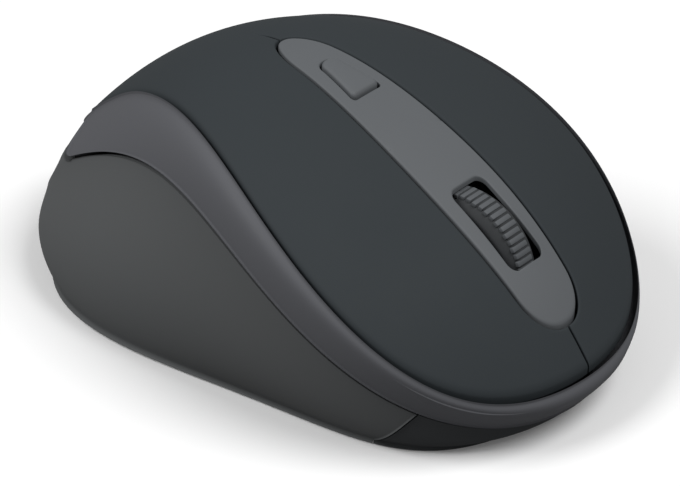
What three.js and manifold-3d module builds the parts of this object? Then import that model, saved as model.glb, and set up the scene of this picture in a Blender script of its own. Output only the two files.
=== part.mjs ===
// A wireless computer mouse: dark top cover with two keys, grey side band, grey side shell,
// dark base, lighter centre strip with scroll wheel and pointer-speed button, and the works inside.
// Millimetres. +Y is the nose, +X the user's right, +Z up; Z = 0 is the table under the feet.

import * as THREE from 'three';
import { ParametricGeometry } from 'three/addons/geometries/ParametricGeometry.js';
import { RoundedBoxGeometry } from 'three/addons/geometries/RoundedBoxGeometry.js';
import { mergeVertices } from 'three/addons/utils/BufferGeometryUtils.js';
import Module from 'manifold-3d';

const wasm = await Module();
wasm.setup();

// ---------------------------------------------------------------- driving dimensions

const DEG = Math.PI / 180;
const GAP = 0.3;                 // clearance between neighbouring pieces
const WALL = 1.8;                // thickness of the outer shells
const BAND_WALL = 1.3;           // thinner where the band tucks in beside the cover
const COVER_EDGE = 0.9;          // thickness of the cover at its edge
const FOOT_RISE = 0.8;           // the base floats this far above the table on its feet
const FLOOR = { bottom: FOOT_RISE, top: 2.8 };

// The crown: height of the centreline as powers of y / 50, and how it falls away sideways.
const CROWN = {
  spine: [41.3, -11.3, -27.1, 23.6, -2.1, -22.2, -1.8, 7.8],
  square: [6.6e-3, -10.9e-3, 18.0e-3, 4.4e-3],
  fourth: [1.45e-6, -0.5e-6, -0.9e-6],
};

// Lines that run round the body. The angle is 0 at the nose and 180 degrees at the heel; x is a
// sine sum and y a cosine sum, so each line is smooth and the two sides mirror each other.
const RIM = { x: [27.4, 6.7, 0, -0.75], y: [2.65, 48.65, -2.95, 0.9, -0.4], heelTuck: 2 };
const SEAM = {
  x: [30.0, 1.6, -0.2, -2.4],
  y: [1.5, 49.2, -2.6, -0.65, -0.6],
  z: [15.7, -6.4, -10.9, 3.7, 0.95],
};
const SOLE = { x: [31.8, -0.9, 3.4, 0.85], y: [-0.9, 43.9, -0.3, 0.4, -0.15] };
const BAND_BULGE = { out: [1.4, 2.4, 0.2], up: [1.7, 0.5, -1.2] };
const WALL_BULGE = { high: [1.0, -0.25, -0.2, 0.15], low: [4.65, -2.05, -0.45, 0.8] };

// The band's rounded tongue near the heel, and where the side shell hands over to the base.
const TONGUE = { start: 138 * DEG, end: 152 * DEG, roundness: 2.3 };
const NOSE_END = 47.5 * DEG;

// The centre strip: widest at y = 25, a blunt rounded tip behind and a rounded front end.
const STRIP = {
  rear: -10.5, front: 43.9, widest: 25, halfWidth: 6.6, power: 1.85,
  rearFall: 0.0047, frontFall: 0.006, rearRound: 6.5, frontRound: 5, thick: 1.6,
};
const HINGE_Y = -16.5;           // where the keys bend from the palm cover
const SLOT = { halfWidth: 3.8, rear: 24.3, front: 36.8, corner: 1.5 };
const SPEED_BUTTON = { rear: -2.1, front: 5.8, rearHalf: 1.8, frontHalf: 2.9, proud: 0.65, deep: 2.6 };

const WHEEL = { y: 25.5, z: 18.6, radius: 12, hub: 8.8, width: 6.6, axle: 1.5, hubBore: 9.1, room: 0.4 };
const BOARD = { bottom: 4.2, top: 5.4 };
const SEAT = BOARD.top + GAP;    // underside of whatever is soldered to the main board
const CELL = { radius: 5.25, length: 44.5, y: [-8, -19.2], z: 8.45 };
const KEY_SWITCH = { x: 13.5, y: 31.8, width: 5.8, length: 12.8, top: 12.2, plungerY: 35.5 };
const CASE_SCREW = { x: 8, y: -34.5 };
const BOARD_SCREW = { x: 19.3, y: 24.2 };
const SPEED_BOARD = { bottom: 32.2, top: 33.4, y: 2 };
const RECEIVER = { x: 15.6, rear: 0, capLength: 6.7, plugLength: 12, bottom: 1.1, thick: 6 };
const POWER = { x: -16, y: 10, travel: 3 };
const SENSOR_Y = 5;

// ---------------------------------------------------------------- finishes

const finish = (color, roughness, metalness = 0) =>
  new THREE.MeshStandardMaterial({ color, roughness, metalness });

const FINISH = {
  cover: finish(0x3c4043, 0.62),
  strip: finish(0x66696d, 0.5),
  band: finish(0x5a5d60, 0.55),
  side: finish(0x54575a, 0.55),
  base: finish(0x292b2d, 0.6),
  rubber: finish(0x222426, 0.85),
  slick: finish(0x17181a, 0.5),
  white: finish(0xd8d6cf, 0.5),
  black: finish(0x141517, 0.45),
  board: finish(0x1f4a33, 0.5),
  lens: finish(0xdfe6ea, 0.08),
  lamp: finish(0x8c1f1f, 0.2),
  steel: finish(0xb9bcc0, 0.3, 1),
  tin: finish(0xc9c9c6, 0.35, 1),
  cell: finish(0x8f9499, 0.35, 0.6),
};

// ---------------------------------------------------------------- sums and surfaces

const sines = (terms, a) => terms.reduce((sum, c, k) => sum + c * Math.sin((k + 1) * a), 0);
const cosines = (terms, a) => terms.reduce((sum, c, k) => sum + c * Math.cos(k * a), 0);
const powers = (terms, t) => terms.reduceRight((sum, c) => sum * t + c, 0);
const clamp01 = (t) => Math.min(1, Math.max(0, t));
const vec = (x, y, z) => new THREE.Vector3(x, y, z);

/** Height of the crown at a plan point. */
function crown(x, y) {
  const t = y / 50;
  const square = powers(CROWN.square, t) * x ** 2;
  const fourth = powers(CROWN.fourth, t) * x ** 4;
  return powers(CROWN.spine, t) - square - fourth;
}

/** Vertical depth that gives the crown a shell of the wanted thickness. */
function crownDepth(x, y, thickness) {
  const step = 0.5;
  const slopeX = (crown(x + step, y) - crown(x - step, y)) / (2 * step);
  const slopeY = (crown(x, y + step) - crown(x, y - step)) / (2 * step);
  return thickness * Math.min(1.7, Math.hypot(1, slopeX, slopeY));
}

/** Level outward direction at an angle round the body. */
const outward = (a) => vec(Math.sin(a), 0.9 * Math.cos(a), 0);

/** Edge of the crown, moved out (or in, when negative) by an offset. */
function rim(a, offset = 0) {
  const x = sines(RIM.x, a);
  const heel = ((1 - Math.cos(a)) / 2) ** 12;
  const y = cosines(RIM.y, a) + RIM.heelTuck * heel;
  return vec(x, y, crown(x, y)).addScaledVector(outward(a), offset);
}

const seam = (a) => vec(sines(SEAM.x, a), cosines(SEAM.y, a), cosines(SEAM.z, a));
const sole = (a) => vec(sines(SOLE.x, a), cosines(SOLE.y, a), FLOOR.bottom);

/** Half the gap between the cover and the band: wide at the nose, fine at the heel. */
const rimGap = (a) => 0.2 + 0.3 * (1 + Math.cos(a)) / 2;

/** The side of the body: t runs 0 at the rim, 1 at the seam, 2 at the sole. */
function side(a, t) {
  const top = rim(a, rimGap(a));
  const middle = seam(a);
  if (t <= 1) {
    const pull = top.clone().add(middle).multiplyScalar(0.5);
    pull.addScaledVector(outward(a), cosines(BAND_BULGE.out, a));
    pull.z += cosines(BAND_BULGE.up, a);
    return new THREE.QuadraticBezierCurve3(top, pull, middle).getPoint(t);
  }
  const bottom = sole(a);
  const high = middle.clone().lerp(bottom, 1 / 3);
  const low = middle.clone().lerp(bottom, 2 / 3);
  high.addScaledVector(outward(a), cosines(WALL_BULGE.high, a));
  low.addScaledVector(outward(a), cosines(WALL_BULGE.low, a));
  return new THREE.CubicBezierCurve3(middle, high, low, bottom).getPoint(t - 1);
}

/** Inside face of the side: straight below the rim at the top, level inwards lower down. */
function sideInner(a, t) {
  const turn = THREE.MathUtils.smoothstep(t, 0.15, 1);
  const thick = THREE.MathUtils.lerp(BAND_WALL, WALL, turn);
  const point = side(a, t).addScaledVector(outward(a), -thick * turn);
  point.z -= thick * (1 - turn);
  return point;
}

/** Angle away from the nose, 0 to 180 degrees, on either side. */
const fromNose = (a) => Math.min(Math.abs(a), 2 * Math.PI - Math.abs(a));

/** Lower edge of the band: the seam, then round the end of the tongue and up to the rim. */
function tongueEdge(a, shift = 0) {
  const s = clamp01((fromNose(a) - shift - TONGUE.start) / (TONGUE.end - TONGUE.start));
  return (1 - s ** TONGUE.roundness) ** (1 / TONGUE.roundness);
}

// ---------------------------------------------------------------- solids

/** Merged, position-only copy of a geometry without slivers. */
function welded(geometry) {
  const bare = new THREE.BufferGeometry();
  bare.setAttribute('position', geometry.getAttribute('position').clone());
  if (geometry.index) {
    bare.setIndex(geometry.index.clone());
  }
  const merged = mergeVertices(bare, 1e-4);
  const source = merged.index.array;
  const kept = [];
  for (let i = 0; i < source.length; i += 3) {
    const [a, b, c] = [source[i], source[i + 1], source[i + 2]];
    if (a !== b && b !== c && c !== a) {
      kept.push(a, b, c);
    }
  }
  merged.setIndex(kept);
  return merged;
}

/** Turns a closed geometry into a Manifold whose faces point outwards. */
function solid(geometry) {
  const { index, attributes } = welded(geometry);
  const vertProperties = new Float32Array(attributes.position.array);
  const triVerts = new Uint32Array(index.array);
  const made = new wasm.Manifold(new wasm.Mesh({ numProp: 3, vertProperties, triVerts }));
  if (made.volume() > 0) {
    return made;
  }
  for (let i = 0; i < triVerts.length; i += 3) {
    [triVerts[i], triVerts[i + 1]] = [triVerts[i + 1], triVerts[i]];
  }
  return new wasm.Manifold(new wasm.Mesh({ numProp: 3, vertProperties, triVerts }));
}

const join = (...parts) => parts.reduce((whole, part) => whole.add(part));
const cut = (whole, ...parts) => parts.reduce((rest, part) => rest.subtract(part), whole);

/** Three.js geometry of a Manifold. */
function geometryOf(manifold) {
  const { vertProperties, triVerts } = manifold.getMesh();
  const geometry = new THREE.BufferGeometry();
  geometry.setAttribute('position', new THREE.BufferAttribute(vertProperties, 3));
  geometry.setIndex(new THREE.BufferAttribute(triVerts, 1));
  geometry.computeVertexNormals();
  return geometry;
}

/**
 * A shell between two skins. Each skin is a function of (station, v); every station's section is
 * a closed loop, and open ends are closed by folding both skins onto the line midway between.
 */
function shell(stations, rows, outer, inner, wraps = false) {
  const ends = wraps ? stations : [stations[0], ...stations, stations.at(-1)];
  const last = ends.length - 1;
  const loop = 2 * (rows + 1);
  const place = (u, v, target) => {
    const column = Math.round(u * last);
    const k = Math.round(v * loop) % loop;
    const across = (k <= rows ? k : loop - 1 - k) / rows;
    const outside = outer(ends[column], across);
    const inside = inner(ends[column], across);
    const folded = !wraps && (column === 0 || column === last);
    const blend = folded ? 0.5 : Number(k > rows);
    target.copy(outside.lerp(inside, blend));
  };
  return solid(new ParametricGeometry(place, last, loop));
}

/** Evenly spread stations: [from, steps, to, steps, to, ...]. */
function spread(from, ...legs) {
  const stations = [from];
  for (let i = 0; i < legs.length; i += 2) {
    const start = stations.at(-1);
    for (let k = 1; k <= legs[i]; k += 1) {
      stations.push(start + (legs[i + 1] - start) * k / legs[i]);
    }
  }
  return stations;
}

/** Upright prism of a plan shape between two heights. */
function prism(shape, bottom, top, curveSegments = 6) {
  const options = { depth: top - bottom, bevelEnabled: false, curveSegments };
  return solid(new THREE.ExtrudeGeometry(shape, options).translate(0, 0, bottom));
}

/** Box from its lowest to its highest corner. */
function block(low, high) {
  const size = high.map((value, i) => value - low[i]);
  const centre = high.map((value, i) => (value + low[i]) / 2);
  return solid(new THREE.BoxGeometry(...size).translate(...centre));
}

/** Upright round bar. */
function pillar(x, y, radius, bottom, top, segments = 20) {
  const bar = new THREE.CylinderGeometry(radius, radius, top - bottom, segments);
  return solid(bar.rotateX(Math.PI / 2).translate(x, y, (top + bottom) / 2));
}

/** Round bar along X. */
function crossBar(low, high, y, z, radius, segments = 24) {
  const bar = new THREE.CylinderGeometry(radius, radius, high - low, segments);
  return solid(bar.rotateZ(Math.PI / 2).translate((high + low) / 2, y, z));
}

/** Rectangle with rounded corners, as a plan shape. */
function roundedPlan(x0, y0, x1, y1, r) {
  const shape = new THREE.Shape();
  shape.moveTo(x0 + r, y0);
  shape.lineTo(x1 - r, y0);
  shape.absarc(x1 - r, y0 + r, r, -Math.PI / 2, 0);
  shape.lineTo(x1, y1 - r);
  shape.absarc(x1 - r, y1 - r, r, 0, Math.PI / 2);
  shape.lineTo(x0 + r, y1);
  shape.absarc(x0 + r, y1 - r, r, Math.PI / 2, Math.PI);
  shape.lineTo(x0, y0 + r);
  shape.absarc(x0 + r, y0 + r, r, Math.PI, 1.5 * Math.PI);
  return shape;
}

/** A piece of the crown over a rectangle, from `up` above its surface to `down` below. */
function crownLayer(x, y, up, down, columns, rows) {
  const at = (across, along) => [
    THREE.MathUtils.lerp(x[0], x[1], across),
    THREE.MathUtils.lerp(y[0], y[1], along),
  ];
  const outer = (u, v) => {
    const [px, py] = at(u, v);
    return vec(px, py, crown(px, py) + up);
  };
  const inner = (u, v) => {
    const [px, py] = at(u, v);
    return vec(px, py, crown(px, py) - crownDepth(px, py, down));
  };
  return shell(spread(0, columns, 1), rows, outer, inner);
}

// ---------------------------------------------------------------- assembly

const mouse = new THREE.Group();

/** Adds one named piece to the mouse. */
function add(name, piece, material) {
  const geometry = piece.isBufferGeometry ? piece : geometryOf(piece);
  const mesh = new THREE.Mesh(geometry, material);
  mesh.name = name;
  mouse.add(mesh);
}

/** Half-width of the centre strip at a station along the mouse. */
function stripHalfWidth(y) {
  const fall = y < STRIP.widest ? STRIP.rearFall : STRIP.frontFall;
  const width = STRIP.halfWidth - fall * Math.abs(y - STRIP.widest) ** STRIP.power;
  const rear = 1 - clamp01((y - STRIP.rear) / STRIP.rearRound);
  const front = 1 - clamp01((STRIP.front - y) / STRIP.frontRound);
  return width * (1 - rear ** 2.2) ** (1 / 2.2) * (1 - front ** 2.3) ** (1 / 2.3);
}

/** Plan outline of the centre strip, grown by a margin. */
function stripPlan(grow = 0) {
  const count = 26;
  const right = [];
  for (let i = 0; i <= count; i += 1) {
    const along = (1 - Math.cos(Math.PI * i / count)) / 2;
    const y = THREE.MathUtils.lerp(STRIP.rear, STRIP.front, along);
    const reach = THREE.MathUtils.lerp(-grow, grow, along);
    right.push(new THREE.Vector2(stripHalfWidth(y) + Math.max(grow, 0.05), y + reach));
  }
  const left = right.map((p) => new THREE.Vector2(-p.x, p.y)).reverse();
  return new THREE.Shape([...right, ...left]);
}

/** Plan outline of the pointer-speed button: rounded behind, straight in front. */
function speedPlan(grow = 0) {
  const { rear, front, rearHalf, frontHalf } = SPEED_BUTTON;
  const corner = 0.7;
  const shape = new THREE.Shape();
  shape.moveTo(0, rear - grow);
  shape.quadraticCurveTo(rearHalf + grow, rear - grow, rearHalf + grow, rear + 1.6);
  shape.lineTo(frontHalf + grow, front + grow - corner);
  shape.quadraticCurveTo(frontHalf + grow, front + grow, frontHalf + grow - corner, front + grow);
  shape.lineTo(corner - frontHalf - grow, front + grow);
  shape.quadraticCurveTo(-frontHalf - grow, front + grow, -frontHalf - grow, front + grow - corner);
  shape.lineTo(-rearHalf - grow, rear + 1.6);
  shape.quadraticCurveTo(-rearHalf - grow, rear - grow, 0, rear - grow);
  return shape;
}

function buildCover() {
  const heart = -2;
  const plan = (a, across) => {
    const edge = rim(a, -rimGap(a));
    return [edge.x * across, heart + (edge.y - heart) * across];
  };
  const outer = (a, across) => {
    const [x, y] = plan(a, across);
    return vec(x, y, crown(x, y));
  };
  const inner = (a, across) => {
    const [x, y] = plan(a, across);
    const thin = THREE.MathUtils.lerp(WALL, COVER_EDGE, across ** 6);
    return vec(x, y, crown(x, y) - crownDepth(x, y, thin));
  };
  const cover = shell(spread(0, 60, 2 * Math.PI), 11, outer, inner, true);
  const opening = prism(stripPlan(0.4), 0, 60);
  const slitHalf = 0.17;
  const high = 60;

  const palmBlock = block([-40, -60, 0], [40, HINGE_Y - GAP / 2, high]);
  const boss = (x) => {
    const { y } = CASE_SCREW;
    const roof = crown(Math.abs(x) + 2.4, y - 2.4) - 0.6;
    return cut(pillar(x, y, 2.4, 5.3, roof), pillar(x, y, 1.3, 0, 14, 12));
  };
  const palm = cover.intersect(palmBlock);
  add('palm_cover', join(palm, boss(-CASE_SCREW.x), boss(CASE_SCREW.x)), FINISH.cover);

  for (const [name, sign] of [['left_key', -1], ['right_key', 1]]) {
    const xs = [slitHalf * sign, 40 * sign].sort((a, b) => a - b);
    const region = block([xs[0], HINGE_Y + GAP / 2, 0], [xs[1], 60, high]);
    const key = cut(cover.intersect(region), opening);
    const x = KEY_SWITCH.x * sign;
    const y = KEY_SWITCH.plungerY;
    const foot = KEY_SWITCH.top + 1.4;
    const roof = crown(Math.abs(x) + 1.5, y + 1.5) - 0.5;
    const post = block([x - 1.5, y - 1.5, foot], [x + 1.5, y + 1.5, roof]);
    add(name, join(key, post), FINISH.cover);
  }
}

function buildStrip() {
  const reach = 8;
  const layer = crownLayer([-reach, reach], [-12, 46], 0, STRIP.thick, 6, 26);
  const { halfWidth, rear, front, corner } = SLOT;
  const slot = prism(roundedPlan(-halfWidth, rear, halfWidth, front, corner), 0, 60);
  const well = crossBar(-halfWidth, halfWidth, WHEEL.y, WHEEL.z, WHEEL.radius + WHEEL.room, 64);
  const window = prism(speedPlan(GAP), 0, 60);
  const boss = (y) => {
    const roof = crown(0, y) - 0.8;
    return cut(
      pillar(0, y, 1.9, SPEED_BOARD.top + GAP, roof, 14),
      pillar(0, y, 1.1, 0, SPEED_BOARD.top + 3, 10),
    );
  };
  const strip = cut(layer.intersect(prism(stripPlan(), 0, 60)), slot, well, window);
  add('centre_strip', join(strip, boss(-5.6), boss(9.8)), FINISH.strip);
}

function buildSpeedButton() {
  const { proud, deep } = SPEED_BUTTON;
  const y = SPEED_BOARD.y;
  const cap = crownLayer([-4, 4], [-4, 8], proud, deep, 6, 8).intersect(prism(speedPlan(), 0, 60));
  const stem = pillar(0, y, 1.2, 37.3, crown(0, y) - 1, 14);
  add('dpi_button', join(cap, stem), FINISH.strip);

  const low = SPEED_BOARD.top + GAP;
  const well = pillar(0, y, 1.5, low + 1.2, 40, 14);
  const hole = (hy) => pillar(0, hy, 1.1, 0, 60, 10);
  const plate = block([-5.5, -8, SPEED_BOARD.bottom], [5.5, 12, SPEED_BOARD.top]);
  add('dpi_board', cut(plate, hole(-5.6), hole(9.8)), FINISH.board);
  add('dpi_switch_body', cut(block([-3, y - 3, low], [3, y + 3, low + 2.5]), well), FINISH.black);
  add('dpi_switch_plunger', pillar(0, y, 1.2, low + 1.9, 37, 14), FINISH.white);
  for (const [name, hy] of [['dpi_screw_rear', -5.6], ['dpi_screw_front', 9.8]]) {
    const head = pillar(0, hy, 1.6, SPEED_BOARD.bottom - 1.3, SPEED_BOARD.bottom - GAP, 14);
    const shank = pillar(0, hy, 0.8, SPEED_BOARD.bottom - 0.5, SPEED_BOARD.top + 2.6, 10);
    add(name, join(head, shank), FINISH.steel);
  }
}

function buildBand() {
  const half = spread(0, 22, 134 * DEG, 12, TONGUE.end);
  const stations = [...half.slice(1).map((a) => -a).reverse(), ...half];
  const seamGap = (a) => 0.15 / rim(a).distanceTo(seam(a));
  const t = (a, v) => v * (tongueEdge(a) - seamGap(a) * Math.sign(tongueEdge(a)));
  const outer = (a, v) => side(a, t(a, v));
  const inner = (a, v) => sideInner(a, t(a, v));
  add('side_band', shell(stations, 6, outer, inner), FINISH.band);
}

function buildSideShell() {
  const start = NOSE_END + 0.35 * DEG;
  const half = spread(start, 15, 134 * DEG, 12, 153 * DEG, 6, Math.PI);
  const stations = [...half, ...half.slice(0, -1).map((a) => 2 * Math.PI - a).reverse()];
  const top = (a) => {
    const edge = tongueEdge(a, 1.1 * DEG);
    const mm = edge >= 1 ? seam(a).distanceTo(sole(a)) : rim(a).distanceTo(seam(a));
    return edge + 0.3 / mm;
  };
  const t = (a, v) => THREE.MathUtils.lerp(top(a), 2, v);
  add('side_shell', shell(stations, 9, (a, v) => side(a, t(a, v)), (a, v) => sideInner(a, t(a, v))),
    FINISH.side);
}

/** Wall of a well standing on the floor: a rectangle `wall` thick around [x0, y0, x1, y1]. */
function wellWall([x0, y0, x1, y1], wall, top) {
  const low = FLOOR.top - 0.5;
  const outside = block([x0 - wall, y0 - wall, low], [x1 + wall, y1 + wall, top]);
  return cut(outside, block([x0, y0, 0], [x1, y1, top + 1]));
}

function buildBase() {
  const edge = 2.1;
  const plan = spread(-Math.PI, 96, Math.PI).slice(0, -1).map((a) => {
    const inset = Math.abs(a) < NOSE_END - 4 * DEG ? 0.4 : edge;
    const p = sole(a).addScaledVector(outward(a), -inset);
    return new THREE.Vector2(p.x, p.y);
  });
  const floor = prism(new THREE.Shape(plan), FLOOR.bottom, FLOOR.top);
  const nose = spread(-NOSE_END, 20, NOSE_END);
  const noseTop = (a) => 1 + 0.2 / seam(a).distanceTo(sole(a));
  const t = (a, v) => THREE.MathUtils.lerp(noseTop(a), 2, v);
  const noseWall = shell(nose, 4, (a, v) => side(a, t(a, v)), (a, v) => sideInner(a, t(a, v)));

  const bay = wellWall([-24.6, -24.9, 24.6, -2.3], 1, 9);
  const pocketWall = wellWall([8.1, -0.3, 23.1, 19], 0.8, 7.4);
  const pocketRoof = block([7.3, -1.1, 7.3], [23.9, 19.8, 8.2]);
  const screwSeat = (sign) => pillar(CASE_SCREW.x * sign, CASE_SCREW.y, 3.2, 1, 5);
  const boardSeat = (sign) => pillar(BOARD_SCREW.x * sign, BOARD_SCREW.y, 2.2, 2, BOARD.bottom - GAP);
  const guides = [[-7.6, 12.5], [7.6, 12.5], [-7.6, 36.6], [7.6, 36.6]]
    .map(([x, y]) => block([x - 1, y - 1, 2], [x + 1, y + 1, 13]));

  const bored = (x, y, r, low, high) => pillar(x, y, r, low, high, 16);
  const cuts = [
    block([-23.8, -24.5, 0], [23.8, -2.7, 3.2]),
    block([8.1, -0.3, 0], [23.1, 19, 4]),
    prism(roundedPlan(-13.3, 31.7, 13.3, 37.3, 2.8), 0, 1.3),
    prism(roundedPlan(-12.3, -37.3, 12.3, -31.7, 2.8), 0, 1.3),
    prism(roundedPlan(POWER.x - 3, POWER.y - 4, POWER.x + 3, POWER.y + 7, 1), 0, 1.7),
    block([POWER.x - 1.1, POWER.y - 1.1, 0], [POWER.x + 1.1, POWER.y + POWER.travel + 1.1, 4]),
    bored(0, SENSOR_Y, 4.3, 0, 4),
    ...[-1, 1].map((s) => bored(CASE_SCREW.x * s, CASE_SCREW.y, 2.3, 0, 3.6)),
    ...[-1, 1].map((s) => bored(CASE_SCREW.x * s, CASE_SCREW.y, 1.3, 0, 6)),
    ...[-1, 1].map((s) => bored(BOARD_SCREW.x * s, BOARD_SCREW.y, 1.2, 1.5, 6)),
  ];
  const solids = join(floor, noseWall, bay, pocketWall, pocketRoof, screwSeat(-1), screwSeat(1),
    boardSeat(-1), boardSeat(1), ...guides);
  add('base_shell', cut(solids, ...cuts), FINISH.base);

  add('front_foot', prism(roundedPlan(-13, 32, 13, 37, 2.5), 0, 1), FINISH.slick);
  add('rear_foot', prism(roundedPlan(-12, -37, 12, -32, 2.5), 0, 1), FINISH.slick);

  const thumb = [-1, 0, 1].map((k) => block([-6, -22.6 + 1.4 * k, 0], [6, -22 + 1.4 * k, 1.2]));
  const door = prism(roundedPlan(-23.5, -24.2, 23.5, -3, 1.5), FLOOR.bottom, 2.3);
  add('battery_door', cut(door, ...thumb), FINISH.base);
}

function buildScrews() {
  for (const [name, sign] of [['case_screw_left', -1], ['case_screw_right', 1]]) {
    const x = CASE_SCREW.x * sign;
    const head = pillar(x, CASE_SCREW.y, 1.9, 2.1, 3.3);
    const shank = pillar(x, CASE_SCREW.y, 1, 3.2, 11, 12);
    const cross = block([x - 1.1, CASE_SCREW.y - 0.25, 1.8], [x + 1.1, CASE_SCREW.y + 0.25, 2.7]);
    add(name, cut(join(head, shank), cross), FINISH.steel);
  }
  for (const [name, sign] of [['board_screw_left', -1], ['board_screw_right', 1]]) {
    const x = BOARD_SCREW.x * sign;
    const head = pillar(x, BOARD_SCREW.y, 1.7, SEAT, SEAT + 1, 14);
    const shank = pillar(x, BOARD_SCREW.y, 0.9, 1.8, SEAT + 0.2, 12);
    add(name, join(head, shank), FINISH.steel);
  }
}

function buildBoard() {
  const outline = [[-21, -0.4], [6.6, -0.4], [6.6, 20.6], [21, 20.6], [21, 30], [16, 38.5],
    [-16, 38.5], [-21, 30]];
  const plate = prism(new THREE.Shape(outline.map(([x, y]) => new THREE.Vector2(x, y))),
    BOARD.bottom, BOARD.top);
  const notches = [
    block([POWER.x - 2.3, POWER.y - 4.3, 0], [POWER.x + 2.3, POWER.y + 5.8, 9]),
    ...[[-7.6, 12.5], [7.6, 12.5], [-7.6, 36.6], [7.6, 36.6]]
      .map(([x, y]) => block([x - 1.4, y - 1.4, 0], [x + 1.4, y + 1.4, 9])),
    ...[-1, 1].map((s) => pillar(BOARD_SCREW.x * s, BOARD_SCREW.y, 1.2, 0, 9, 12)),
    pillar(0, SENSOR_Y, 2.5, 0, 9, 16),
  ];
  add('main_board', cut(plate, ...notches), FINISH.board);

  const chip = new RoundedBoxGeometry(9.9, 9, 2.8, 1, 0.3);
  add('sensor_chip', chip.translate(0, SENSOR_Y, SEAT + 1.4), FINISH.black);
  const bowl = pillar(0, SENSOR_Y, 1.6, 0.9, 1.7, 16);
  const dome = pillar(0, SENSOR_Y, 2.2, 3, 4.5, 16);
  add('sensor_lens', cut(join(pillar(0, SENSOR_Y, 4, 1.2, 3.6), dome), bowl), FINISH.lens);
  const lamp = new THREE.CapsuleGeometry(1.4, 2.6, 4, 10).rotateX(Math.PI / 2);
  add('sensor_lamp', lamp.translate(-7.6, SENSOR_Y, SEAT + 3), FINISH.lamp);

  const chips = [
    ['radio_chip', [5, 5, 1], -11.5, 19, FINISH.black],
    ['crystal', [3.2, 2.5, 1], -11, 14.6, FINISH.tin],
  ];
  for (const [name, size, x, y, material] of chips) {
    const body = new RoundedBoxGeometry(...size, 1, 0.15);
    add(name, body.translate(x, y, SEAT + size[2] / 2), material);
  }
  const can = [[0, 0], [2.2, 0], [2.2, 0.6], [2, 0.8], [2.2, 1], [2.2, 5.6], [1.9, 5.9], [0, 5.9]]
    .map(([r, z]) => new THREE.Vector2(r, z));
  const capacitor = new THREE.LatheGeometry(can, 16).rotateX(Math.PI / 2);
  add('capacitor', solid(capacitor.translate(-18, 17.8, SEAT)), FINISH.black);

  add('power_switch_body', block([POWER.x - 2, POWER.y - 4, 3.1], [POWER.x + 2, POWER.y + 5.5, 6.6]),
    FINISH.tin);
  const knob = prism(roundedPlan(POWER.x - 2.3, POWER.y - 2.6, POWER.x + 2.3, POWER.y + 2.6, 0.8),
    0.5, 1.4);
  const tongue = block([POWER.x - 0.8, POWER.y - 0.8, 1], [POWER.x + 0.8, POWER.y + 0.8, 2.8]);
  add('power_slider', join(knob, tongue), FINISH.white);
}

function buildSwitches() {
  const { y, width, length, top, plungerY } = KEY_SWITCH;
  for (const [side_, sign] of [['left', -1], ['right', 1]]) {
    const x = KEY_SWITCH.x * sign;
    const body = block([x - width / 2, y - length / 2, SEAT], [x + width / 2, y + length / 2, top]);
    const well = block([x - 0.9, plungerY - 1.4, top - 1.2], [x + 0.9, plungerY + 1.4, top + 1]);
    add(`${side_}_switch_body`, cut(body, well), FINISH.black);
    const plunger = new RoundedBoxGeometry(1.2, 2.2, 1.6, 1, 0.2);
    add(`${side_}_switch_plunger`, plunger.translate(x, plungerY, top + 0.3), FINISH.white);
  }
  const middleY = 36.3;
  const roof = SEAT + 2.9;
  const box = block([-2.25, middleY - 2.1, SEAT], [2.25, middleY + 2.1, roof]);
  const bar = middleY + 0.5;
  add('middle_switch_body', cut(box, pillar(0, bar, 1.4, roof - 1.2, roof + 1, 14)), FINISH.black);
  add('middle_switch_plunger', pillar(0, bar, 1.1, roof - 0.5, 9.7, 14), FINISH.white);
}

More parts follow.
